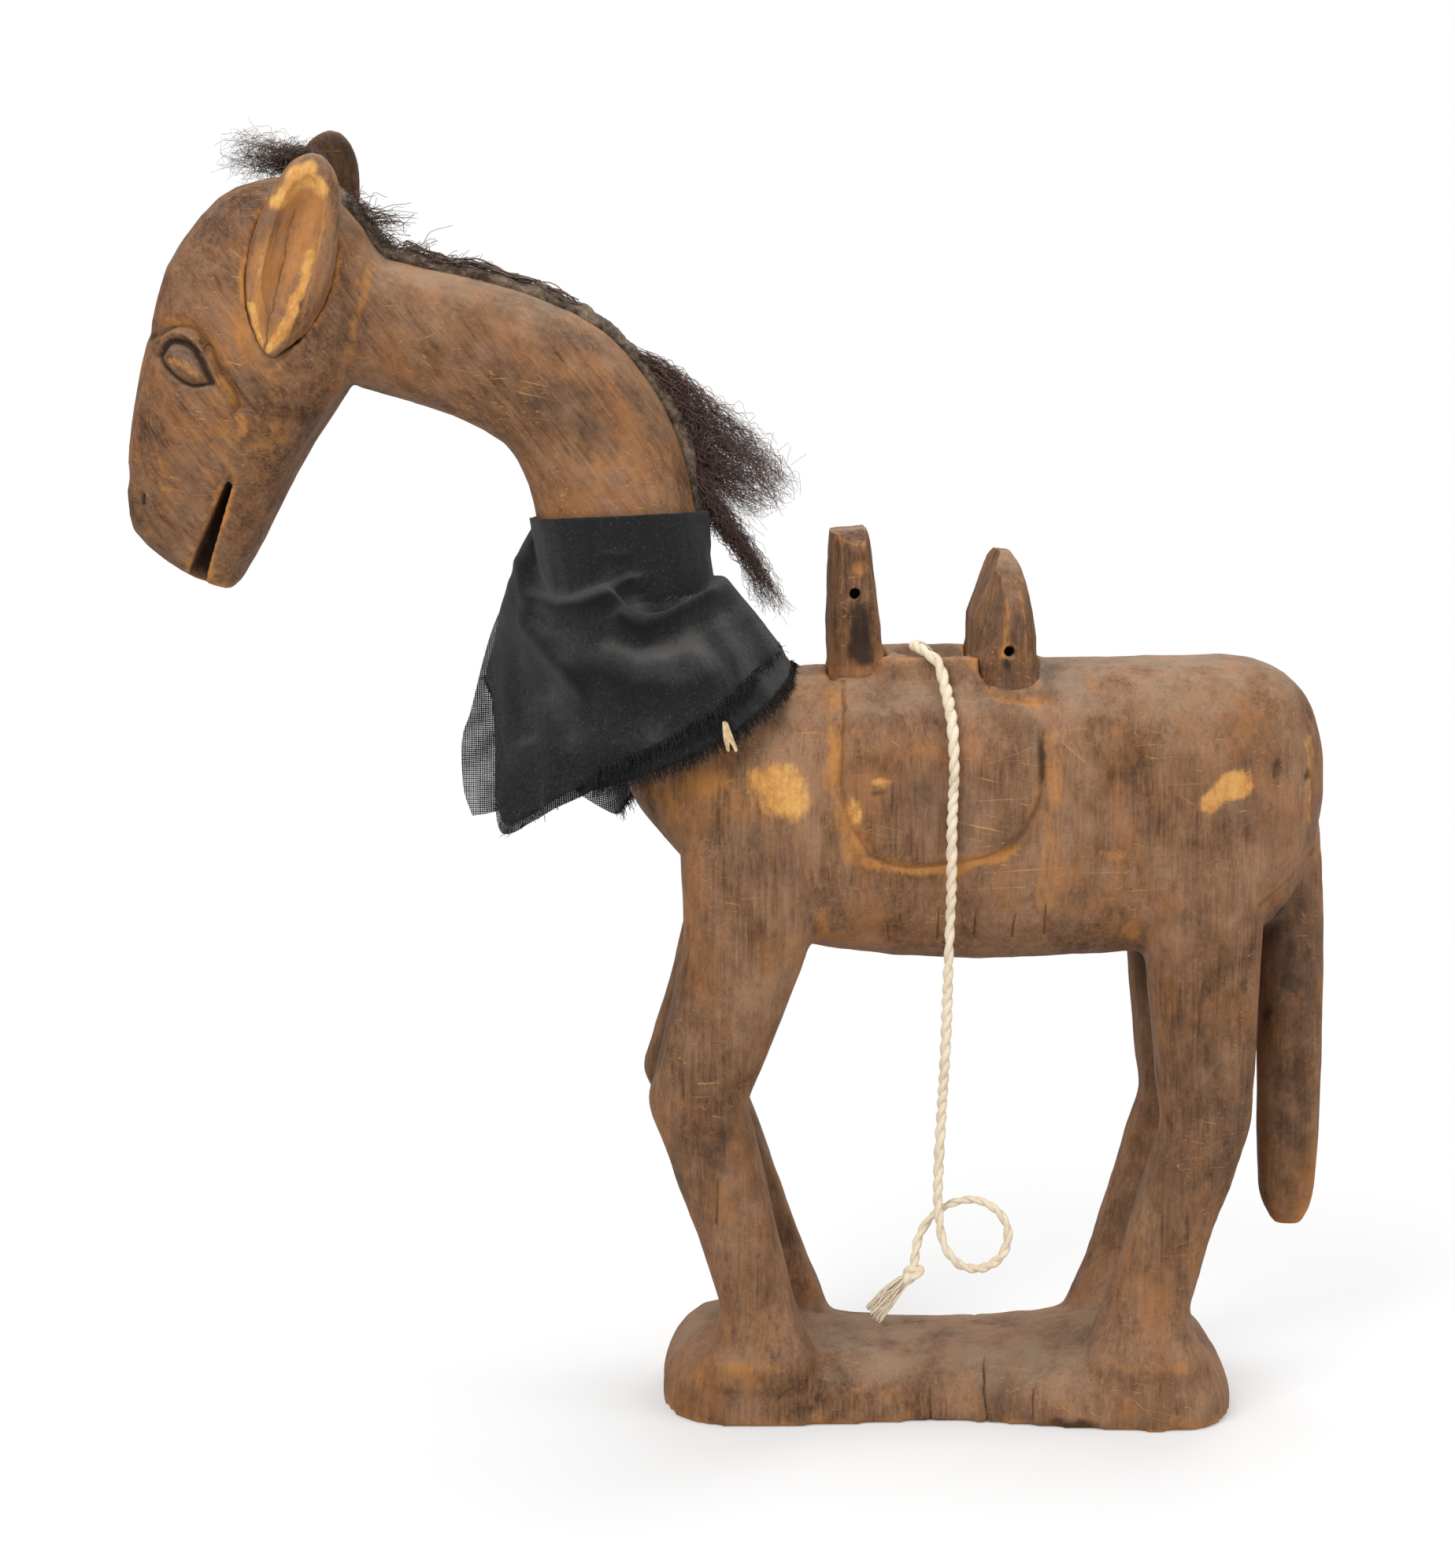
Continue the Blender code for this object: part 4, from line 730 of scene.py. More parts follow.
def age(obj, voxel, marks, patches=(), stains=(), warm=(), bright=1.0, mirrored=True):
    """Wear on edges, painted shade in hollows and grooves, raw patches, and stains and painted shade on the
    legs' inner faces, held as values on the mesh.
    """
    mesh = obj.data
    grooved, halo = marks
    points, normals, edges = points_of(mesh), normals_of(mesh), edges_of(mesh)
    fine, broad = (((points - relaxed(points, edges, rounds)) * normals).sum(1) / voxel for rounds in (6, 40))
    noise = rough_noise(points / (14 * MM), SEED + 21, 4)
    wear = np.clip(1.5 * fine - 0.03, 0, 1) * 1.2 + np.clip(0.55 * broad - 0.10, 0, 0.9)
    wear = wear * (0.75 + 0.7 * noise) * bright
    # Painted shade in hollows, weaker beside the grooves' worn edges; the grooves' own painted shade is added
    # below.
    crease = np.clip(-2.2 * fine - 0.12, 0, 1) + np.clip(-0.5 * broad - 0.16, 0, 0.7)
    crease *= 1 - 0.6 * np.clip(halo, 0, 1)
    facing = outward(points, normals) if mirrored else np.ones(len(points))
    pixels = near_pixels(points) if mirrored else to_pixels(points)
    ragged = pixels + 9 * np.stack([rough_noise(points / (9 * MM), k) for k in (3, 4)], 1)

    def gathered(start, table, share):
        for place, size, amount in table:
            start = np.maximum(start, amount * marked(ragged, place, size) * share)
        return start

    none = np.zeros(len(points))
    wear = gathered(wear, warm, (0.75 + 0.5 * noise) * facing)
    patch = gathered(none, patches, facing)
    stain_and_shade = gathered(none, stains, np.maximum(facing, 0.2))
    # Painted shade on the legs' inner faces, where the legs shade each other; it goes into the stain value.
    inner = np.clip(np.where(points[:, 1] <= 0, 1.0, -1.0) * normals[:, 1] * 1.6, 0, 1)
    low, high = LEG_HEIGHTS
    stain_and_shade = np.maximum(stain_and_shade, 0.5 * inner * (points[:, 2] > low) * (points[:, 2] < high))
    set_value(mesh, "wear", np.maximum(wear, 0.9 * halo * (0.8 + 0.5 * noise)))
    set_value(mesh, "crease", np.maximum(crease, grooved))
    set_value(mesh, "patch", patch)
    set_value(mesh, "stain_and_shade", stain_and_shade)


# Marks, at the photograph's pixels. A groove is a line, its half width, its depth in mm and how dark its
# painted shade is. A ridge is a line, its half width and its height in mm. A raw patch, a stain or warm
# wear is an oval's centre and half axes, or a line and its half width, and how strong it is.
CAD_NOSTRIL = (173, 605)
FLAP_EDGE = [
    (1068, 868), (1066, 950), (1070, 1018), (1096, 1074), (1107, 1093), (1147, 1103), (1206, 1100),
    (1268, 1085), (1300, 1061), (1327, 1007), (1328, 932),
]
BODY_GROOVES = [
    (FLAP_EDGE, 5, 2.0, 0.45), ([(1252, 1707), (1249, 1765), (1253, 1805)], 3, 1.1, 0.9),
    ([(1181, 1762), (1182, 1803)], 3, 0.8, 0.8), ([(1312, 1762), (1310, 1803)], 3, 0.8, 0.8),
    ([(1192, 1155), (1190, 1192)], 2.6, 0.8, 0.8), ([(1241, 1156), (1238, 1192)], 2.6, 0.8, 0.8),
    ([(1290, 1162), (1287, 1190)], 2.6, 0.7, 0.8), ([(1328, 1152), (1325, 1187)], 2.6, 0.7, 0.8),
    ([(1127, 1172), (1129, 1194)], 2.6, 0.6, 0.8),
    ([(1672, 1078), (1640, 1118), (1604, 1150)], 6, 1.5, 0.5), ([(913, 1500), (909, 1555)], 4, 0.9, 0.7),
    ([(1254, 846), (1260, 880), (1300, 890), (1326, 893)], 3.5, 0.9, 0.2),
    ([(1064, 850), (1100, 838), (1128, 830)], 3, 0.6, 0.2),
]
BODY_PATCHES = [
    ((986, 994), (36, 28), 1.1), ((996, 1018), (34, 22), 1.0),
    ([(1538, 1018), (1556, 1006), (1578, 992)], 15, 1.1), ((1120, 992), (12, 8), 1.0),
    ((1084, 1034), (9, 22), 0.8), ([(1661, 930), (1664, 1040)], 4, 0.6), ((972, 1052), (10, 7), 0.4),
]
BODY_STAINS = [
    ((1361, 1808), (34, 8), 0.95), ((1023, 1788), (20, 6), 0.6), ((1325, 965), (7, 32), 0.85),
    ((1115, 1008), (9, 5), 0.8), ((1357, 1080), (12, 24), 0.45), ((1621, 975), (5, 15), 0.8),
    ((1660, 985), (4, 8), 0.8), ((1640, 1330), (44, 240), 0.62), ((1632, 1185), (26, 58), 0.55),
    ((1633, 1245), (10, 18), 0.75), ((1610, 1285), (6, 14), 0.8), ((1660, 1210), (12, 16), 0.6),
    ((1580, 1245), (7, 18), 0.75), ((1553, 1453), (5, 5), 0.7), ((1484, 1436), (8, 34), 0.5),
    ((1530, 1523), (5, 8), 0.6), ((1527, 1573), (5, 22), 0.45), ((927, 1450), (12, 18), 0.5),
    ((960, 1590), (6, 6), 0.7), ((977, 1507), (5, 8), 0.7), ((1200, 1010), (60, 26), 0.25),
    ((1235, 905), (50, 24), 0.28), ((880, 1610), (20, 60), 0.25), ((1530, 1330), (75, 330), 0.42),
    ((925, 1400), (70, 300), 0.38), ((1500, 930), (170, 90), 0.26), ((1420, 1400), (30, 260), 0.3),
]
BODY_WARM = [
    ([(1062, 870), (1058, 1000), (1085, 1090)], 12, 0.95),
    ([(1336, 930), (1340, 1030), (1327, 1145)], 14, 0.7), ((885, 1005), (70, 52), 0.85),
    ((1045, 1165), (14, 22), 0.9), ((1437, 1182), (12, 18), 0.95), ((930, 1752), (62, 26), 0.7),
    ([(1100, 1096), (1206, 1106), (1290, 1080)], 9, 1.1), ((1078, 1050), (14, 40), 1.0),
    ((1405, 1085), (40, 8), 0.6), ((920, 1540), (12, 60), 0.6), ((1470, 1010), (60, 30), 0.35),
    ((1110, 1190), (80, 10), 0.5), ((1480, 1650), (30, 30), 0.5), ((1150, 1770), (90, 18), 0.4),
]
EYE_TOP = [(199, 450), (212, 434), (236, 437), (253, 457), (268, 486)]
EYE_BOTTOM = [(199, 450), (206, 463), (222, 478), (245, 489), (268, 487)]
HEAD_GROOVES = [
    ([(193, 424), (216, 413), (240, 416), (262, 438), (280, 472), (297, 497), (304, 520)], 8, 3.6, 0.62),
    (EYE_TOP, 8, 3.0, 1.0), (EYE_BOTTOM, 4.8, 2.2, 1.0), ([(178, 629), (178, 640)], 5, 2.0, 1.0),
    ([(305, 400), (316, 446), (338, 468), (360, 450), (376, 430)], 6, 1.2, 0.25),
    ([(413, 474), (420, 487), (440, 496)], 5, 1.2, 0.45),
]
HEAD_RIDGES = [
    ([(218, 456), (234, 464), (248, 474)], 12, 2.2),
    ([(203, 436), (232, 425), (260, 448), (278, 488)], 4, 0.9),
]
HEAD_WARM = [
    ([(475, 330), (452, 410), (432, 490)], 7, 0.75),
    ([(215, 408), (243, 411), (268, 438), (286, 475), (304, 512), (308, 545)], 9, 1.0),
    ((245, 520), (50, 24), 0.45), ((300, 560), (40, 50), 0.45), ((380, 480), (40, 22), 0.6),
    ([(300, 400), (312, 455), (345, 480)], 9, 0.8), ((640, 420), (70, 24), 0.5),
    ((610, 520), (50, 40), 0.5), ((790, 600), (70, 40), 0.5), ((845, 560), (20, 70), 0.6),
    ((230, 600), (40, 30), 0.35), ((285, 560), (95, 85), 0.55), ((215, 680), (50, 40), 0.3),
    ((560, 372), (40, 9), 0.5), ((740, 470), (50, 30), 0.35),
]
HEAD_PATCHES = [([(215, 455), (232, 464), (250, 477)], 7, 0.5)]
HEAD_STAINS = [
    ((600, 420), (190, 70), 0.36), ((215, 545), (40, 18), 0.25), ((250, 330), (30, 40), 0.2),
    ((700, 400), (60, 20), 0.25), ((196, 431), (9, 9), 0.9), ((340, 330), (8, 50), 0.25),
    ((820, 500), (24, 40), 0.25),
]
EAR_PATCHES = [
    ([(354, 256), (374, 236), (392, 228), (406, 240)], 12, 1.0), ([(372, 222), (392, 212)], 10, 1.0),
    ([(396, 322), (391, 350), (378, 376), (370, 400), (357, 425), (343, 441)], 7, 1.0),
    ([(317, 385), (322, 415), (333, 444)], 5, 0.85), ([(336, 325), (329, 352)], 5, 0.5),
]
EAR_HOLLOW = [([(384, 262), (372, 300), (352, 360), (340, 425)], 17, 2.6, 0.0)]
EAR_WARM = [
    ([(380, 262), (372, 305), (354, 340), (345, 390)], 7, 0.85), ([(345, 275), (325, 330)], 8, 0.7),
    ([(412, 262), (413, 300), (404, 340)], 6, 0.6),
]
# Along the near ear's hollow: a thin dark streak, and a broader band of painted shade in the hollow.
EAR_STAINS = [
    ([(378, 268), (362, 320), (350, 375), (344, 400), (337, 440)], 2.6, 0.66),
    ([(380, 266), (366, 310), (352, 365), (342, 415)], 13, 0.40),
]
FAR_EAR_WARM = [
    ((428, 200), (10, 30), 0.9), ((422, 238), (12, 12), 0.9), ((440, 215), (6, 30), 0.8),
    ((395, 205), (9, 12), 0.5),
]
FAR_EAR_STAINS = [((418, 215), (46, 66), 0.80)]
# The two small ovals are holes in the bows, painted dark as their shade; the rest are stains.
BOW_STAINS = [
    ([(1092, 775), (1094, 830)], 16, 1.0), ([(1062, 690), (1060, 840)], 14, 0.4),
    ((1086, 757), (6, 10), 0.95), ((1277, 842), (7, 9), 0.9), ([(1290, 780), (1284, 825)], 5, 0.45),
]
BOW_WARM = [
    ((1097, 722), (12, 14), 0.75), ([(1110, 700), (1120, 760), (1128, 830)], 4, 0.65),
    ((1304, 738), (8, 10), 1.0), ([(1283, 750), (1274, 820)], 4, 0.6), ([(1318, 750), (1324, 850)], 4, 0.5),
    ([(1246, 720), (1232, 800)], 4, 0.6),
]

# Shaved faces of the bows: a point in mm and the way the face looks.
POMMEL_PLANES = [
    ((-50, -32, 370), (-0.86, -0.51, 0.05)), ((-34, -32, 370), (0.80, -0.60, 0.0)),
    ((-43, -29, 396), (0.15, -0.66, 0.75)), ((-43, 0, 403.5), (-0.12, 0.0, 1.0)),
]
CANTLE_PLANES = [
    ((17, -34, 365), (-0.82, -0.56, 0.14)), ((27, 0, 393), (0.86, 0.0, 0.51)),
    ((20, 0, 393), (-0.93, 0.0, 0.36)), ((24, -31, 388), (0.0, -0.90, 0.43)),
    ((35, -40, 360), (0.75, -0.66, 0.1)),
]

body = remeshed("body_carving", "body", BODY_VOXEL, rounds=2)
marks = carve(body, gouge=15 * MM, depth=0.75 * MM, seed=11, grooves=BODY_GROOVES, cuts=2)
age(body, BODY_VOXEL, marks, BODY_PATCHES, BODY_STAINS, BODY_WARM)
dress(body, wood_material("old_wood_upright"), "dark_wood", "body")
body_tree = tree_of(body)

head = remeshed("neck_and_head_carving", "neck_and_head", HEAD_VOXEL, rounds=2)
healed(head, CAD_NOSTRIL, size=(13, 15))
marks = carve(head, gouge=12 * MM, depth=0.5 * MM, seed=31, grooves=HEAD_GROOVES, ridges=HEAD_RIDGES, cuts=2)
age(head, HEAD_VOXEL, marks, HEAD_PATCHES, HEAD_STAINS, HEAD_WARM, bright=1.15)
dress(head, wood_material("old_wood_neck", lean=math.radians(38), tone=-0.035), "dark_wood", "neck_and_head")
head_tree = tree_of(head)

bow_wood = wood_material("old_wood_saddle", tone=-0.055)
for node, seed, planes in (("pommel", 41, POMMEL_PLANES), ("cantle", 47, CANTLE_PLANES)):
    bow = remeshed(node + "_carving", node, BOW_VOXEL, rounds=2)
    planed(bow, planes)
    marks = carve(bow, gouge=17 * MM, depth=1.3 * MM, seed=seed)
    swollen(bow, body_tree, reach=2.5 * MM, amount=1.3 * MM)
    age(bow, BOW_VOXEL, marks, stains=BOW_STAINS, warm=BOW_WARM)
    dress(bow, bow_wood, "dark_wood", node)

near_ear_wood = wood_material("old_wood_ear", lean=math.radians(-15), tone=0.03, torn=1.0)
far_ear_wood = wood_material("old_wood_far_ear", lean=math.radians(10), tone=-0.06)
for node, seed, hollow, patches, stains, warm, made in (
        ("ear_left", 53, EAR_HOLLOW, EAR_PATCHES, EAR_STAINS, EAR_WARM, near_ear_wood),
        ("ear_right", 59, (), (), FAR_EAR_STAINS, FAR_EAR_WARM, far_ear_wood)):
    ear = remeshed(node + "_carving", node, EAR_VOXEL, rounds=3)
    marks = carve(ear, gouge=9 * MM, depth=0.4 * MM, seed=seed, grooves=hollow, cuts=1)
    swollen(ear, head_tree, reach=2.0 * MM, amount=0.9 * MM)
    age(ear, EAR_VOXEL, marks, patches, stains, warm, bright=1.2, mirrored=node == "ear_left")
    dress(ear, made, "dark_wood", node)

peg_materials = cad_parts["neck_peg"].data.materials
peg_materials.clear()
peg_materials.append(sliver_material())


# Cord

CORD_EASE = CORD_DIAMETER / 2 + 0.5 * MM
CORD_STEP = 0.8 * MM
CORD_FREE_BELOW = 190 * MM
FLAP_EDGE_Y = -8 * MM
# Turns of smoothing, and how many of them also push the cord off the wood.
SMOOTH_TURNS, PUSH_TURNS = 70, 45


def cord_route(end):
    """Centreline: up through the seat, laid on the flap where the photograph shows it, then hanging free."""
    laid = []
    for pixel in CORD_LAID:
        hit, normal, _ = struck(body_tree, pixel)
        point = np.array(hit + normal * CORD_EASE)
        point[1] = min([point[1]] + [p[1] for p in laid])
        laid.append(point)
    seat = np.array(CORD_START + CORD_TURN) * MM
    free = np.array(CORD_FALL + CORD_LOOP + CORD_END) * MM
    line = smooth_line(np.vstack([seat, laid, free, end]), CORD_STEP)
    stop = int(np.argmax(line[:, 2] < CORD_FREE_BELOW))
    for turn in range(SMOOTH_TURNS):
        line[1:stop] = (line[:stop - 1] + 2 * line[1:stop] + line[2:stop + 1]) / 4
        # The last turns only smooth the line, so that it keeps no kinks from the wood.
        for i in range(1, stop if turn < PUSH_TURNS else 1):
            hit, normal = body_tree.find_nearest(Vector(line[i]))[:2]
            if line[i, 1] < FLAP_EDGE_Y and (Vector(line[i]) - hit).dot(normal) < CORD_EASE:
                line[i] = hit + normal * CORD_EASE
    return resampled(line, CORD_STEP)


def make_cord(end):
    """Two soft plies laid loosely round each other along the route, thinner below the belly."""
    line = cord_route(end)
    across, up = frames_along(line)
    run = run_of(line)
    size = CORD_DIAMETER * (1 + 0.06 * np.sin(run / (37 * MM)) + 0.05 * np.sin(run / (11 * MM) + 1))
    size *= np.interp(line[:, 2], [112 * MM, 170 * MM], [0.84, 1.0])
    lay = 2 * math.pi * run / CORD_PITCH + 0.9 * np.sin(run / (19 * MM)) + 0.6 * np.sin(run / (7 * MM) + 2)
    parts = MeshParts()
    for angle in (lay, lay + math.pi):
        way = across * np.cos(angle)[:, None] + up * np.sin(angle)[:, None]
        parts.tube(line + (PLY_OFFSET * size)[:, None] * way, PLY_RADIUS * size, PLY_SIDES)
    cord = parts.object("cord_plies")
    points = points_of(cord.data)
    displaced(cord, 0.22 * MM * rough_noise(points / (1.0 * MM), 71, 3))
    middle = np.repeat(np.concatenate([line, line]), PLY_SIDES, axis=0)
    reach = np.linalg.norm(points - middle, axis=1)
    # Painted shade in the groove between the plies, strongest near the cord's middle.
    set_value(cord.data, "crease", 1 - np.clip(reach / (0.30 * CORD_DIAMETER), 0, 1))
    return cord, line


def make_knot(centre, heading):
    """An overhand knot pulled half tight: one thick strand wound through itself."""
    parts = MeshParts()
    turn = np.linspace(0, 2 * math.pi, 120)
    knot = np.stack([np.sin(turn) + 2 * np.sin(2 * turn), np.cos(turn) - 2 * np.cos(2 * turn),
                     -1.3 * np.sin(3 * turn)], 1)
    flat = np.cross(heading, ACROSS)
    axes = np.stack([heading * 1.45, flat * 0.85, ACROSS * 0.8])
    parts.tube(centre + knot @ axes * 1.05 * MM, 1.55 * MM * (1 + 0.15 * np.sin(turn * 5)), 12)
    core = np.stack([centre - heading * 4 * MM, centre, centre + heading * 5 * MM])
    parts.tube(resampled(core, 1 * MM), 2.1 * MM, 12)
    obj = parts.object("cord_knot_turns")
    points = points_of(obj.data)
    displaced(obj, 0.25 * MM * rough_noise(points / (1.2 * MM), 72, 3))
    set_value(obj.data, "crease", np.clip(-rough_noise(points / (2 * MM), 73, 2), 0, 1))
    return obj


def make_tassel(start, heading):
    """The frayed end of the cord: a flat ribbon of loose cotton yarns, cut square."""
    parts = MeshParts()
    flat = np.cross(heading, ACROSS)
    t = np.linspace(0, 1, 12)[:, None]
    droop = np.array((0.0, 0.0, -3.0)) * MM * t ** 2
    for _ in range(TASSEL_YARNS):
        side = random.uniform(-1, 1)
        size = random.uniform(*TASSEL_LENGTHS) * MM
        fan = flat * side * (1.6 + 3.0 * t ** 0.6) * MM + ACROSS * random.normal(0, 0.7) * MM
        curl = random.normal(0, 1, 3) * 0.55 * MM * np.sin(t * random.uniform(3, 9) + random.uniform(0, 6))
        parts.tube(start + fan + heading * t * size + curl + droop, 0.34 * MM * (1 - 0.25 * t[:, 0]), 4)
    obj = parts.object("cord_tassel_yarns")
    set_value(obj.data, "crease", np.clip(rough_noise(points_of(obj.data) / (1.5 * MM), 74, 2), 0, 1))
    return obj


cotton = cotton_material()
knot_low, knot_high = (np.array(v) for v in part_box("cord_knot"))
tassel_low, tassel_high = (np.array(v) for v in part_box("cord_tassel"))
knot_centre = (knot_low + knot_high) / 2
tassel_heading = (tassel_low + tassel_high) / 2 - knot_centre
tassel_heading /= np.linalg.norm(tassel_heading)
cord, cord_line = make_cord(knot_centre)
cord_knot = make_knot(knot_centre, tassel_heading)
cord_tassel = make_tassel(knot_centre + tassel_heading * 3 * MM, tassel_heading)
dress(cord, cotton, "cord_cotton", "cord")
dress(cord_knot, cotton, "cord_cotton", "cord_knot")
dress(cord_tassel, cotton, "cord_cotton", "cord_tassel")


# Scarf

HEM_CENTRE = np.array((-148.0, 0.0, 410.0)) * MM
HEM_REACH = (38.0 * MM, 35.0 * MM)
HEM_SLOPE = 1.6 * MM
COLUMNS, LEVELS = 240, 104
LAYING_ROUNDS = 6
LAYING_REACH = 60 * MM
GAUZE_THICKNESS = 0.5 * MM
# Round the neck, in degrees: the front with next to no fringe and the sheer corner, and half their width.
BARE_FRONT, SHEER_FRONT = (182, 58), (190, 60)
SHEER_LEVEL = 0.80
# Lower edges, as (angle from the rear, pixel, depth y in mm): the near side, then the far side.
UNDER_EDGE = [
    (0, (1008, 848), -8), (20, (1004, 862), -32), (42, (980, 893), -54), (66, (935, 931), -60),
    (90, (872, 965), -62), (110, (805, 990), -62), (124, (755, 1003), -58), (140, (700, 1028), -50),
    (154, (655, 1057), -40), (161, (637, 1061), -34), (166, (630, 1040), -29), (170, (628, 985), -24),
    (174, (627, 925), -18), (178, (625, 880), -10), (184, (614, 858), 2), (196, (622, 880), 22),
    (214, (680, 960), 44), (228, (734, 1006), 50), (238, (785, 1036), 53), (250, (815, 1010), 58),
    (275, (870, 940), 62), (310, (940, 885), 56), (338, (994, 852), 30), (360, (1008, 848), -8),
]
OVER_EDGE = [
    (0, (984, 822), -8), (20, (978, 838), -34), (42, (946, 868), -56), (66, (905, 906), -62),
    (90, (850, 940), -64), (110, (795, 965), -64), (124, (750, 990), -60), (140, (700, 1018), -52),
    (154, (660, 1044), -42), (161, (641, 1050), -36), (166, (632, 1030), -31), (170, (629, 975), -26),
    (174, (628, 920), -20), (178, (626, 875), -12), (184, (616, 856), 2), (196, (622, 870), 22),
    (214, (680, 930), 44), (238, (780, 985), 54), (250, (815, 980), 58), (275, (866, 925), 62),
    (310, (930, 872), 56), (338, (976, 832), 30), (360, (984, 822), -8),
]
# The cowl, by angle: where it starts below the hem, as a share of the way down, and how far its rim
# stands up, in mm.
COWL = [
    (0, 0.48, 2.0), (20, 0.50, 4.0), (45, 0.55, 9.0), (62, 0.57, 12.0), (78, 0.51, 8.0), (90, 0.40, 3.0),
    (102, 0.29, 0.5), (133, 0.31, 1.5), (152, 0.26, 1.0), (168, 0.12, 0.0), (178, 0.02, 0.0),
    (200, 0.10, 1.0), (230, 0.25, 3.0), (270, 0.36, 5.0), (310, 0.42, 6.0), (360, 0.48, 2.0),
]
# Folds, as (line of pixels, half width in pixels, height in mm; a negative height is a hollow).
FOLDS = [
    ([(668, 790), (700, 832), (742, 882)], 12, 3.4), ([(690, 880), (720, 930)], 22, -3.0),
    ([(684, 764), (712, 776), (740, 772), (775, 756), (800, 744)], 12, 4.6),
    ([(800, 744), (826, 733)], 10, 2.4), ([(812, 764), (838, 764), (864, 750)], 13, -3.4),
    ([(722, 736), (765, 726)], 12, -3.4), ([(752, 710), (792, 706)], 9, 2.6),
    ([(692, 690), (694, 750)], 8, -3.0),
    ([(790, 784), (818, 797), (850, 788), (876, 766), (896, 752)], 11, 4.0),
    ([(772, 812), (812, 824), (850, 814)], 16, -4.2),
    ([(740, 850), (800, 872), (860, 876), (920, 846)], 24, 3.6),
    ([(915, 752), (948, 790), (972, 828)], 14, 3.4), ([(880, 800), (925, 850)], 18, -2.8),
    ([(845, 690), (880, 684)], 14, 2.0), ([(648, 742), (630, 800)], 12, 2.2),
    ([(662, 716), (670, 765)], 10, 2.6), ([(640, 800), (660, 870), (668, 930)], 16, -2.6),
    ([(760, 920), (830, 925)], 26, -2.2),
]
# The two sides of the thin corner in front: a line of pixels and its depth y in mm.
CORNER_SIDES = [
    ([(650, 745), (628, 791), (613, 840), (598, 902), (587, 938), (588, 1000), (600, 1036)], 2),
    ([(668, 745), (662, 791), (655, 840), (648, 902), (644, 945), (643, 1000), (640, 1028)], 10),
]
PIN_PIXEL = (922, 921)
PIN_OUTLINE = [
    (-1.3, -1.5), (-0.3, -2.0), (0.9, -1.2), (2.2, 6.0), (3.1, 11.4), (2.0, 12.3), (1.3, 9.6), (0.5, 7.6),
    (0.1, 9.4), (-0.3, 12.0), (-1.5, 11.6), (-1.9, 6.0),
]


def by_angle(table, angles):
    """The columns of a table that starts with angles, read at other angles."""
    rows = np.array(table, float)
    return [np.interp(angles, rows[:, 0], rows[:, i]) for i in range(1, rows.shape[1])]


def bell(values, centre, width):
    return np.exp(-((values - centre) / width) ** 2)


def evened(values, rounds):
    """Values round the neck, each averaged with its neighbours."""
    for _ in range(rounds):
        values = (np.roll(values, 1, 0) + 2 * values + np.roll(values, -1, 0)) / 4
    return values


def drape(name, edge, ease, seed, wood):
    """Gauze hung from a hem round the neck, then in a cowl below it, laid outside the wood and folded."""
    angles = np.linspace(0, 360, COLUMNS, endpoint=False)
    turn = np.radians(angles)
    out = np.stack([np.cos(turn), -np.sin(turn), np.zeros(COLUMNS)], 1)
    slope = np.array((0, 0, HEM_SLOPE)) * np.cos(turn)[:, None]
    hem = HEM_CENTRE + out * np.array((*HEM_REACH, 0)) + slope
    lower = np.stack(by_angle([(a, *to_world(*pixel, y)) for a, pixel, y in edge], angles), 1)
    lower = evened(lower, 2)
    start, rim = (evened(v, 16) for v in by_angle(COWL, angles))
    grid = np.zeros((LEVELS, COLUMNS, 3))
    for i, t in enumerate(np.linspace(0, 1, LEVELS)):
        below = np.clip((t - start) / (1 - start), 0, 1)
        reach = 0.04 * np.clip(t / (start + 0.01), 0, 1) + 0.96 * below ** 0.6
        grid[i] = hem + (lower - hem) * np.stack([reach, reach, np.full(COLUMNS, t)], 1)
        grid[i, :, 2] += rim * MM * (bell(t - start, 0.05, 0.045) - 0.6 * bell(t - start, -0.02, 0.03))
        grid[i] += out * (0.9 * MM * bell(t, 0.035, 0.02))
    flat = grid.reshape(-1, 3)

    # Folds of the photograph on the near side, plain waves on the far side, and a little noise on both.
    directions = np.tile(out, (LEVELS, 1))
    level = np.repeat(np.linspace(0, 1, LEVELS), COLUMNS)
    angle = np.tile(turn, LEVELS)
    pixels = to_pixels(flat)
    near = np.clip(-directions[:, 1] * 3 + 0.9, 0, 1) * np.clip(level * 5, 0, 1)
    lift = near * sum(high * MM * bell(line_distance(pixels, line), 0, width) for line, width, high in FOLDS)
    waves = 3.0 * np.sin(angle * 7 + 2.2 * level) + 2.0 * np.sin(angle * 11 - 3 * level + 1)
    lift += (1 - near) * np.clip(level * 3, 0, 1) * waves * MM
    lift += 1.2 * MM * rough_noise(flat / (22 * MM), seed, 3) * np.clip(level * 5, 0, 1)
    lift += 0.3 * MM * rough_noise(flat / (5 * MM), seed + 5, 3)
    away = directions + np.array((0, 0, 0.45))
    away /= np.linalg.norm(away, axis=1)[:, None]
    return woven(name, laid_outside(flat + away * lift[:, None], wood, ease))


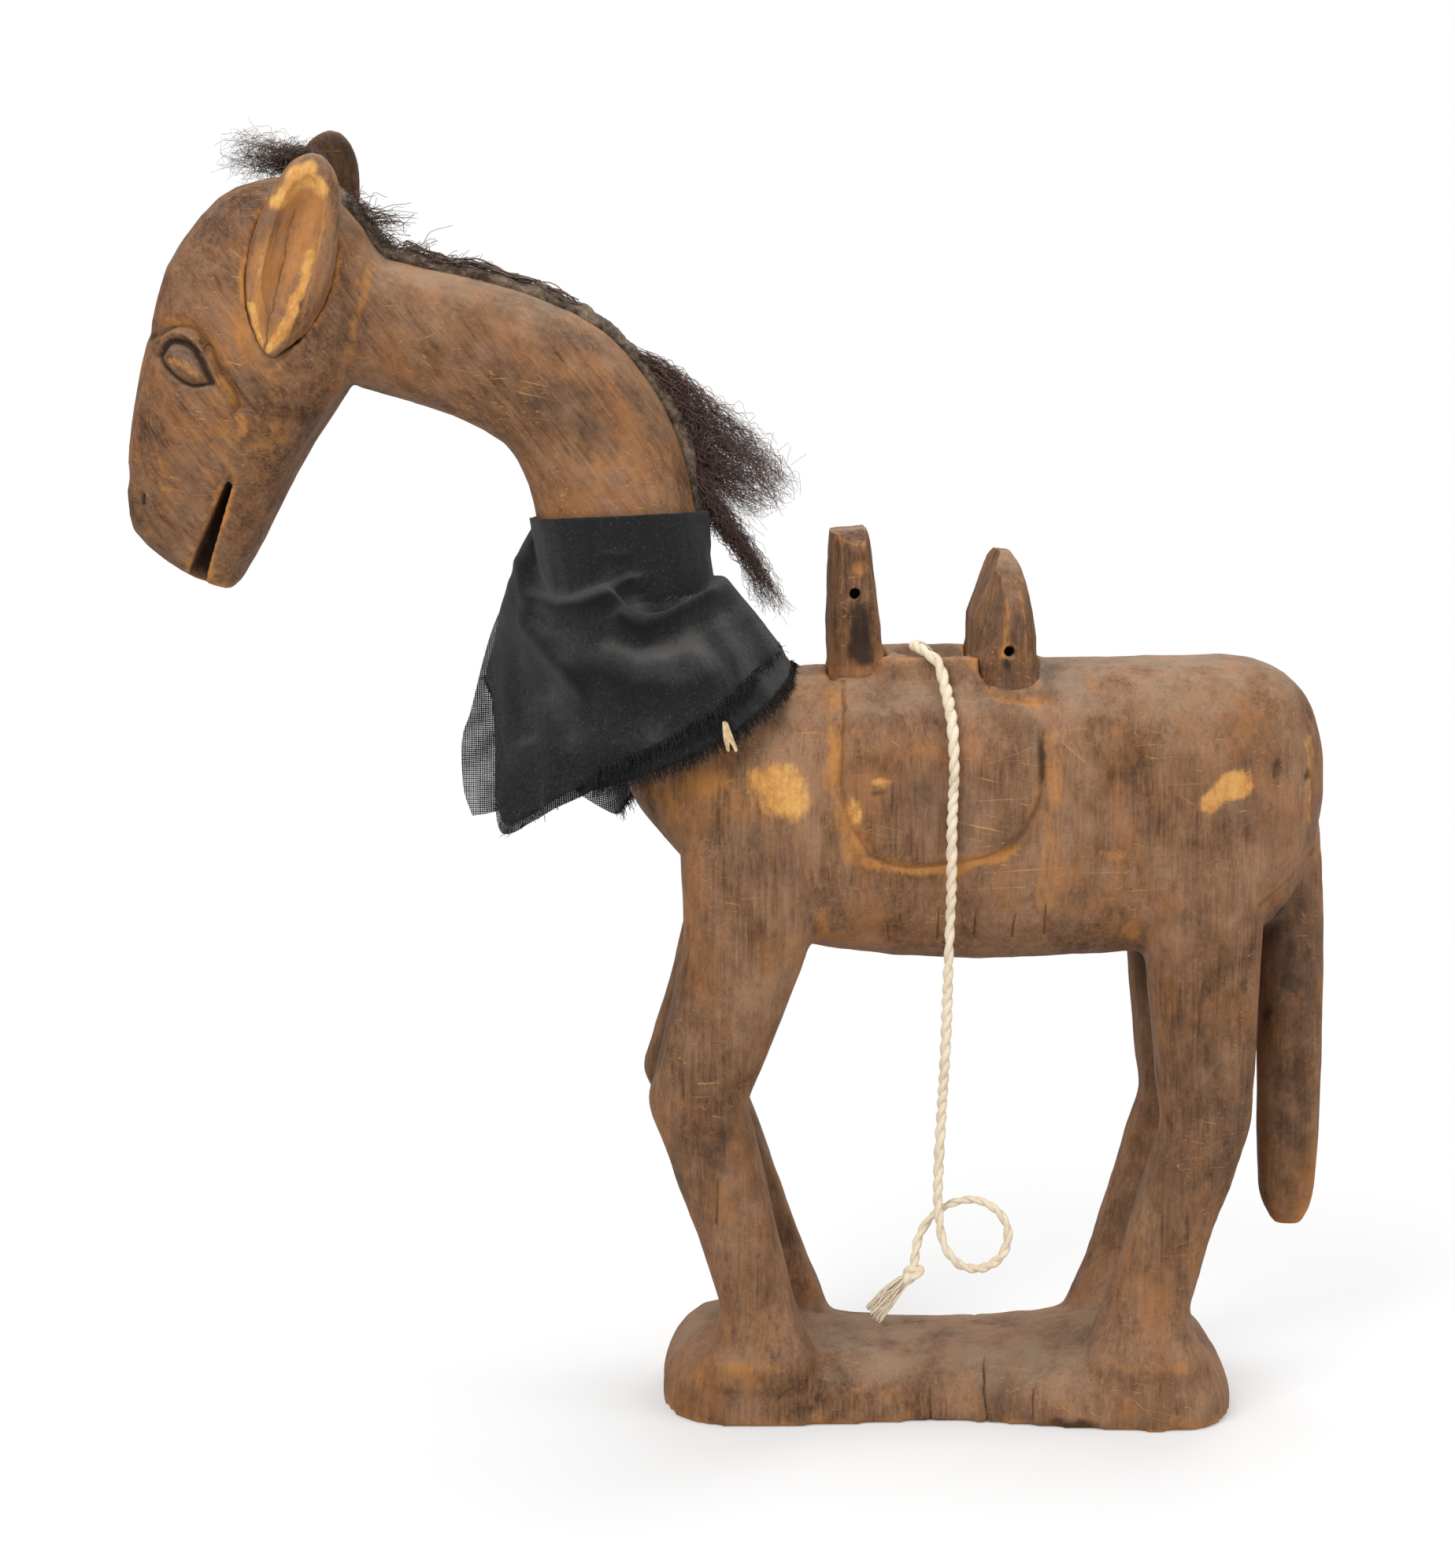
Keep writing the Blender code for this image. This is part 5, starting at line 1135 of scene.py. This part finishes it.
def laid_outside(points, wood, ease):
    """Push the cloth out of the wood by turns with evening it out."""
    for turn in range(LAYING_ROUNDS):
        for i, p in enumerate(points):
            hit, normal, _, gap = wood.find_nearest(Vector(p))
            if gap < LAYING_REACH and (Vector(p) - hit).dot(normal) < ease:
                points[i] = np.array(hit + normal * ease)
        if turn < LAYING_ROUNDS - 1:
            grid = points.reshape(LEVELS, COLUMNS, 3)
            mean = (np.roll(grid, 1, 1) + np.roll(grid, -1, 1)) / 2
            mean[1:-1] = (mean[1:-1] * 2 + grid[:-2] + grid[2:]) / 4
            grid[1:-1] += 0.4 * (mean[1:-1] - grid[1:-1])
            points = grid.reshape(-1, 3)
    return points


def woven(name, points):
    """The cloth as a mesh, with its weave in metres, and as values its ridges for dust and painted highlight,
    its creases for painted shade, and its sheer corners.
    """
    obj = new_object(name, points, grid_faces(LEVELS, COLUMNS, flipped=True))
    mesh = obj.data
    grid = points.reshape(LEVELS, COLUMNS, 3)
    drop = np.linalg.norm(np.diff(grid, axis=0), axis=2)
    down = np.concatenate([np.zeros((1, COLUMNS)), np.cumsum(drop, 0)])
    ring = np.linalg.norm(np.roll(grid, -1, 1) - grid, axis=2).mean(0)
    along = np.concatenate([[0], np.cumsum(ring)])
    flat = []
    for i in range(LEVELS - 1):
        for j in range(COLUMNS):
            k = (j + 1) % COLUMNS
            flat += [along[j], down[i, j], along[j], down[i + 1, j]]
            flat += [along[j + 1], down[i + 1, k], along[j + 1], down[i, k]]
    mesh.uv_layers.new(name="weave").data.foreach_set("uv", np.array(flat, np.float32))
    edges = edges_of(mesh)
    bend = ((points - relaxed(points, edges, 110)) * normals_of(mesh)).sum(1)
    bend = relaxed(bend[:, None], edges, 6)[:, 0]
    # Ridges get dust and a painted highlight, creases get painted shade.
    set_value(mesh, "ridge_dust_and_highlight", bend / (2.0 * MM))
    set_value(mesh, "crease", -bend / (2.6 * MM))
    level = np.repeat(np.linspace(0, 1, LEVELS), COLUMNS)
    angle = np.tile(np.linspace(0, 360, COLUMNS, endpoint=False), LEVELS)
    front = np.clip(1.5 - np.abs(angle - SHEER_FRONT[0]) / SHEER_FRONT[1], 0, 1)
    set_value(mesh, "sheer", front * np.clip((level - SHEER_LEVEL) * 7, 0, 1))
    shade_smooth(obj)
    return obj


def fringe(name, cloth, count, size):
    """Loose warp ends along the lower edge, next to none of them at the front corners."""
    grid = points_of(cloth.data).reshape(LEVELS, COLUMNS, 3)
    parts = MeshParts()
    t = np.linspace(0, 1, 6)[:, None]
    for i in range(count):
        at = (i + random.uniform(-0.4, 0.4)) / count * COLUMNS
        j = int(math.floor(at)) % COLUMNS
        front = abs(j * 360 / COLUMNS - BARE_FRONT[0]) < BARE_FRONT[1]
        if front and random.uniform() < 0.9:
            continue
        f = at - math.floor(at)
        k = (j + 1) % COLUMNS
        edge, above = (grid[row, j] * (1 - f) + grid[row, k] * f for row in (-1, -7))
        heading = edge - above
        heading /= np.linalg.norm(heading) + 1e-9
        heading = heading + random.normal(0, 0.26, 3) + np.array((0, 0, -0.25))
        heading /= np.linalg.norm(heading)
        reach = size * random.uniform(0.4, 1.25) * (0.35 if front else 1.0)
        curl = random.normal(0, 1, 3) * 0.9 * MM
        line = edge - heading * 1.5 * MM + heading * t * reach + curl * np.sin(t * random.uniform(2, 6))
        parts.tube(line, 0.19 * MM * (1 - 0.4 * t[:, 0]), 3, random.uniform(0, 1))
    return parts.object(name)


def hanging_corner(name, sides, columns, levels, seed):
    """A single thickness of gauze that hangs free between two lines of pixels, each at its own depth."""
    edges = []
    for line, depth in sides:
        world = smooth_line(np.array([to_world(px, py, depth) for px, py in line]), 1 * MM)
        edges.append(resampled(world, length_of(world) / (levels - 1))[:levels])
    t = np.linspace(0, 1, columns)[None, :, None]
    flat = (edges[0][:, None] * (1 - t) + edges[1][:, None] * t).reshape(-1, 3)
    flat[:, 1] += 3.5 * MM * rough_noise(flat / (16 * MM), seed, 2)
    faces = grid_faces(levels, columns, closed=False, flipped=True)
    obj = new_object(name, flat, faces)
    corners = np.array(faces).ravel()
    weave = obj.data.uv_layers.new(name="weave").data
    weave.foreach_set("uv", flat[corners][:, [0, 2]].astype(np.float32).ravel())
    # A little dust and painted highlight all over, no painted shade in creases, and sheer throughout.
    for value, amount in (("ridge_dust_and_highlight", 0.15), ("crease", 0.0), ("sheer", 1.0)):
        set_value(obj.data, value, np.full(len(flat), amount))
    shade_smooth(obj)
    return obj


wood_tree = tree_of(body, head)
scarf_under = drape("scarf_under_layer", UNDER_EDGE, ease=1.4 * MM, seed=101, wood=wood_tree)
scarf_over = drape("scarf_upper_layer", OVER_EDGE, ease=3.2 * MM, seed=101, wood=wood_tree)
fringe_under = fringe("scarf_under_fringe", scarf_under, count=2000, size=6 * MM)
fringe_over = fringe("scarf_upper_fringe", scarf_over, count=1800, size=5.5 * MM)
corner = hanging_corner("scarf_front_corner", CORNER_SIDES, columns=40, levels=80, seed=131)
gauze = scarf_material("charcoal_gauze_sheer")
warp = thread_material("charcoal_thread", (0.005, 0.005, 0.006), (0.034, 0.033, 0.031))
for cloth in (scarf_under, scarf_over, corner):
    modifier = cloth.modifiers.new("Thickness", "SOLIDIFY")
    modifier.thickness = GAUZE_THICKNESS
    modifier.offset = 1.0
    dress(cloth, gauze, "scarf_cotton", "scarf")
for threads in (fringe_under, fringe_over):
    dress(threads, warp, "scarf_cotton", "scarf")


def make_pin(cloth):
    """A forked splinter of pale wood, pushed through the gauze at its lower edge."""
    hit, _, ray = struck(cloth, PIN_PIXEL)
    right, down = np.array((1.0, 0.0, 0.0)), np.array((0.16, -0.34, -0.93))
    toward = -np.array(ray)
    centre = np.array(hit) + toward * 2.2 * MM
    front = [centre + (right * x + down * y + toward * 0.9) * MM for x, y in PIN_OUTLINE]
    back = [centre + (right * x * 1.15 + down * y) * MM for x, y in PIN_OUTLINE]
    count = len(PIN_OUTLINE)
    faces = [tuple(range(count)), tuple(range(2 * count - 1, count - 1, -1))]
    faces += [(i, i + count, (i + 1) % count + count, (i + 1) % count) for i in range(count)]
    obj = new_object("scarf_pin_splinter", front + back, faces)
    shape = bmesh.new()
    shape.from_mesh(obj.data)
    bmesh.ops.recalc_face_normals(shape, faces=shape.faces)
    bmesh.ops.bevel(shape, geom=list(shape.edges), offset=0.18 * MM, segments=2, affect="EDGES")
    bmesh.ops.triangulate(shape, faces=shape.faces)
    shape.to_mesh(obj.data)
    shape.free()
    return obj


dress(make_pin(tree_of(scarf_under, scarf_over, body)), sliver_material(), "pale_wood", "scarf_pin")


# Mane

HIDE_SIDES = 28
HIDE_WIDTH, HIDE_HEIGHT = 5.6 * MM, 4.6 * MM
HAIR_STEPS = 44
# How far to each side of the crest the wood is felt for, and how far the crest may stand above it.
CREST_SIDE, CREST_STAND = 7 * MM, 2.2 * MM
# Shares of the crest, from the poll down, that the short tufts and the long strands cover.
NAPE_SPAN, STRAND_SPAN = (0.01, 0.30), (0.20, 0.56)
# Guides of the locks: a depth y in mm and a line of pixels from root to tip.
FORELOCK_GUIDES = [
    (-4, [(398, 200), (360, 190), (325, 180), (288, 176)]),
    (0, [(398, 206), (345, 202), (312, 200), (279, 206)]),
    (4, [(394, 212), (355, 214), (326, 214), (296, 220)]),
]
MANE_LOCK_GUIDES = [
    (-4, [(812, 450), (852, 470), (905, 515), (955, 555), (1002, 605)]),
    (5, [(824, 470), (860, 505), (910, 550), (962, 585), (1006, 622)]),
    (-2, [(840, 500), (872, 545), (920, 590), (965, 605), (990, 645)]),
    (3, [(852, 530), (882, 588), (930, 625), (975, 645)]),
    (0, [(858, 560), (886, 615), (922, 650), (948, 672)]),
]
MANE_TAIL_GUIDES = [
    (-3, [(866, 575), (890, 612), (932, 668), (964, 716), (990, 772)]),
    (3, [(876, 600), (905, 642), (945, 695), (975, 740), (996, 776)]),
    (0, [(880, 625), (908, 664), (944, 708), (962, 750), (970, 776)]),
]


def crest_line(step):
    """The crest, let down where it would stand clear of the wood beside the strip's slot."""
    line = smooth_line(np.array([(x, 0, z) for x, z in CREST]) * MM, 1 * MM)
    for i, (x, _, z) in enumerate(line):
        starts = [Vector((x, y, z + 40 * MM)) for y in (-CREST_SIDE, CREST_SIDE)]
        hits = [head_tree.ray_cast(start, Vector((0, 0, -1)))[0] for start in starts]
        tops = [hit.z for hit in hits if hit is not None]
        if tops:
            line[i, 2] = min(z, max(tops) + CREST_STAND)
    for _ in range(12):
        line[1:-1] = (line[:-2] + 2 * line[1:-1] + line[2:]) / 4
    return resampled(line, step)


def crest_part(span):
    """The part of the crest between two shares of its length."""
    line = crest_line(1 * MM)
    return line[int(span[0] * len(line)):int(span[1] * len(line))]


def make_strip():
    """Crinkled strip of dried hide along the crest, thick and thin, with a wandering edge."""
    line = crest_line(1.1 * MM)
    heading = np.gradient(line, axis=0)
    heading /= np.linalg.norm(heading, axis=1)[:, None]
    up = np.stack([-heading[:, 2], np.zeros(len(line)), heading[:, 0]], 1)
    up *= np.where(up[:, 2] < 0, -1, 1)[:, None]
    turn = np.linspace(0, 2 * math.pi, HIDE_SIDES, endpoint=False)
    points = []
    for i, p in enumerate(line):
        key = np.array([[i * 0.11, 0.3, 0.7]])
        wide = HIDE_WIDTH * (1 + 0.28 * rough_noise(key, 5, 3)[0])
        high = HIDE_HEIGHT * (1 + 0.40 * rough_noise(key + 9, 6, 3)[0])
        drift = 1.4 * MM * rough_noise(key + 4, 8, 3)[0]
        points += [p + ACROSS * (drift + wide * math.cos(a)) + up[i] * (high * math.sin(a)) for a in turn]
    points = np.array(points)
    obj = new_object("mane_hide", points, tube_faces(len(line), HIDE_SIDES))
    crinkle = rough_noise(points / (4.2 * MM), 61, 4)
    cells = facets(points / (5.5 * MM), 62)
    displaced(obj, 1.5 * MM * crinkle - 1.4 * MM * np.clip(cells - 0.45, 0, 1))
    # Painted shade between the cells and in the crinkles' hollows.
    set_value(obj.data, "crease", np.clip((cells - 0.42) * 2.2, 0, 1) + np.clip(-crinkle - 0.25, 0, 1))
    shade_smooth(obj)
    return obj


def lock(name, guides, count, radius, frizz, coil, seed, reach=(0.6, 1.05), root=1.5, wood=None):
    """Hair along guide lines: each strand runs between two guides, coils a little and strays by itself.

    With wood given, the guides start on that wood, below their first pixel.
    """
    own = np.random.default_rng(seed)
    lines = []
    for depth, pixels in guides:
        world = [to_world(*pixel, depth) for pixel in pixels]
        if wood is not None:
            world.insert(0, np.array(wood.ray_cast(Vector(world[0]), Vector((0, 0, -1)))[0]))
        line = smooth_line(np.array(world), 1 * MM)
        lines.append(resampled(line, length_of(line) / (HAIR_STEPS - 1))[:HAIR_STEPS])
    parts = MeshParts()
    t = np.linspace(0, 1, HAIR_STEPS)[:, None]
    for _ in range(count):
        a, b = own.integers(0, len(lines), 2)
        f = own.uniform(0, 1)
        base = lines[a] * (1 - f) + lines[b] * f
        at = np.linspace(0, min(own.uniform(*reach), 1.0), HAIR_STEPS) * (HAIR_STEPS - 1)
        line = np.stack([np.interp(at, np.arange(HAIR_STEPS), base[:, i]) for i in range(3)], 1)
        line = line + own.normal(0, root, 3) * MM
        turns = length_of(line) / (own.uniform(6, 13) * MM) * 2 * math.pi
        first, second = own.normal(0, 0.7, 3), own.normal(0, 0.7, 3)
        phase = own.uniform(0, 6)
        twist = first * np.sin(t * turns + phase) + second * np.cos(t * turns * own.uniform(0.8, 1.2) + phase)
        wave = own.normal(0, 1, 3) * np.sin(t * own.uniform(4, 14) + own.uniform(0, 6))
        stray = own.normal(0, 1, 3) * (2.4 if own.uniform() < 0.10 else 1.0)
        line = line + np.clip(4 * t, 0, 1) * coil * MM * own.uniform(0.5, 1.5) * twist
        line = line + frizz * MM * (t * wave + t ** 2 * stray)
        parts.tube(line, radius * MM * (1 - 0.6 * t[:, 0]), 3, own.uniform(0, 1))
    return parts.object(name)


def crest_strands(name, count, seed):
    """A few long dark strands that lie along the crest on top of the hide."""
    own = np.random.default_rng(seed)
    line = crest_part(STRAND_SPAN)
    t = np.linspace(0, 1, len(line))[:, None]
    parts = MeshParts()
    for _ in range(count):
        shift = np.array((0.0, own.uniform(-4.5, 2.0), 4.6 + own.uniform(0, 1.8))) * MM
        wave = sum(own.normal(0, 1, 3) * np.sin(t * own.uniform(6, 22) + own.uniform(0, 6)) for _ in range(2))
        share = int(len(line) * own.uniform(0.6, 1.0))
        strand = (line + shift + wave * 0.9 * MM)[:share]
        parts.tube(strand, own.uniform(0.2, 0.42) * MM, 4, own.uniform(0, 1))
    return parts.object(name)


def nape_tufts(name, count, seed):
    """Short stiff hair along the front of the crest, in tangled clumps that lean back."""
    own = np.random.default_rng(seed)
    line = crest_part(NAPE_SPAN)
    parts = MeshParts()
    t = np.linspace(0, 1, 12)[:, None]
    for _ in range(count):
        at = line[own.integers(0, len(line))] + np.array((0, own.normal(0, 2.6), 2.0)) * MM
        clump = math.sin(at[0] * 420) * 0.5 + 0.5
        aim = np.array((1.0 + own.normal(0, 0.25), own.normal(0, 0.30), own.normal(-0.16, 0.22)))
        aim /= np.linalg.norm(aim)
        size = own.uniform(5, 10 + 16 * clump) * MM
        curl = own.normal(0, 1, 3) * 1.5 * MM * np.sin(t * own.uniform(5, 13) + own.uniform(0, 3))
        curl = curl - curl[0] + own.normal(0, 1, 3) * 2.0 * MM * t ** 2
        parts.tube(at + aim * t * size + curl, 0.24 * MM * (1 - 0.55 * t[:, 0]), 3, own.uniform(0, 1))
    return parts.object(name)


brown_hair = hair_material("brown_hair", (0.034, 0.018, 0.015), (0.175, 0.098, 0.075))
dark_hair = hair_material("dark_hair", (0.026, 0.014, 0.010), (0.140, 0.076, 0.050))
dress(make_strip(), hide_material(), "hide", "mane_strip")
forelock = lock("forelock_hair", FORELOCK_GUIDES, count=230, radius=0.15, frizz=1.8, coil=2.4, seed=81,
                reach=(0.5, 1.05), root=1.6, wood=head_tree)
mane_lock = lock("mane_lock_hair", MANE_LOCK_GUIDES, count=640, radius=0.19, frizz=1.7, coil=1.6, seed=83)
mane_tail = lock("mane_tail_hair", MANE_TAIL_GUIDES, count=260, radius=0.19, frizz=1.2, coil=1.3, seed=85)
nape = nape_tufts("nape_hair", count=340, seed=87)
strands = crest_strands("nape_strand_hair", count=16, seed=89)
for piece, made, node in ((forelock, dark_hair, "forelock"), (mane_lock, brown_hair, "mane_lock"),
                          (mane_tail, brown_hair, "mane_tail"), (nape, dark_hair, "nape_tuft"),
                          (strands, dark_hair, "nape_tuft")):
    dress(piece, made, "hair", node)


# Studio

SENSOR_HEIGHT = 36
FLOOR_GREY = (0.6, 0.6, 0.6)
FLOOR_GLOW = 0.28
FLOOR_DROP = 0.3 * MM
# Distances between which the floor turns from grey with a shadow to plain white, in metres.
SHADOW_REACH = (0.28, 0.50)
WORLD_LIGHT = 0.42
LIT = (-0.05, 0, 0.28)


def area_light(name, place, size, power):
    data = bpy.data.lights.new(name, "AREA")
    data.shape = "RECTANGLE"
    data.size = data.size_y = size
    data.energy = power
    obj = linked(name, data)
    obj.location = place
    obj.rotation_euler = (Vector(LIT) - Vector(place)).to_track_quat("-Z", "Y").to_euler()


def make_floor():
    """Pale floor: white to the camera, with the object's soft shadow left on it near the plinth."""
    corners = [(-6, -6, 0), (6, -6, 0), (6, 6, 0), (-6, 6, 0)]
    obj = new_object("studio_floor", corners, [(0, 1, 2, 3)])
    obj.location.z = -FLOOR_DROP
    s = Shader("studio_white")
    grey = s.add("ShaderNodeBsdfDiffuse", {"Color": FLOOR_GREY}).outputs[0]
    glow = s.add("ShaderNodeEmission", {"Strength": FLOOR_GLOW}).outputs[0]
    lit = s.add("ShaderNodeAddShader", {0: grey, 1: glow}).outputs[0]
    white = s.add("ShaderNodeEmission", {"Strength": 1.0}).outputs[0]
    reach = s.add("ShaderNodeVectorMath", {0: s.place()}, operation="LENGTH").outputs["Value"]
    far = s.add("ShaderNodeMixShader", {0: s.spread(reach, *SHADOW_REACH), 1: lit, 2: white}).outputs[0]
    seen = s.add("ShaderNodeLightPath").outputs["Is Camera Ray"]
    obj.data.materials.append(s.surface(s.add("ShaderNodeMixShader", {0: seen, 1: grey, 2: far}).outputs[0]))


def make_world():
    """Even soft light, and white behind the object."""
    s = Shader("studio_air", "worlds", "ShaderNodeOutputWorld")
    soft, white = (s.add("ShaderNodeBackground", {"Color": (1, 1, 1), "Strength": strength}).outputs[0]
                   for strength in (WORLD_LIGHT, 1.0))
    seen = s.add("ShaderNodeLightPath").outputs["Is Camera Ray"]
    bpy.context.scene.world = s.surface(s.add("ShaderNodeMixShader", {0: seen, 1: soft, 2: white}).outputs[0])


def make_camera():
    data = bpy.data.cameras.new("photo_camera")
    data.sensor_fit = "VERTICAL"
    data.sensor_height = SENSOR_HEIGHT
    data.lens = SENSOR_HEIGHT * PIXELS_PER_RADIAN / PHOTO_SIZE[1]
    obj = linked("photo_camera", data)
    obj.location = CAMERA_PLACE
    obj.rotation_euler = (math.radians(90) - CAMERA_PITCH, 0, 0)
    bpy.context.scene.camera = obj


make_camera()
make_floor()
make_world()
area_light("key", (-1.3, -1.7, 1.9), size=1.4, power=46)
area_light("fill", (1.7, -1.3, 1.1), size=1.6, power=20)
area_light("top", (0.1, 0.4, 2.2), size=1.6, power=24)
area_light("back", (0.6, 1.8, 1.2), size=1.4, power=12)
bpy.context.scene.view_settings.view_transform = "Standard"
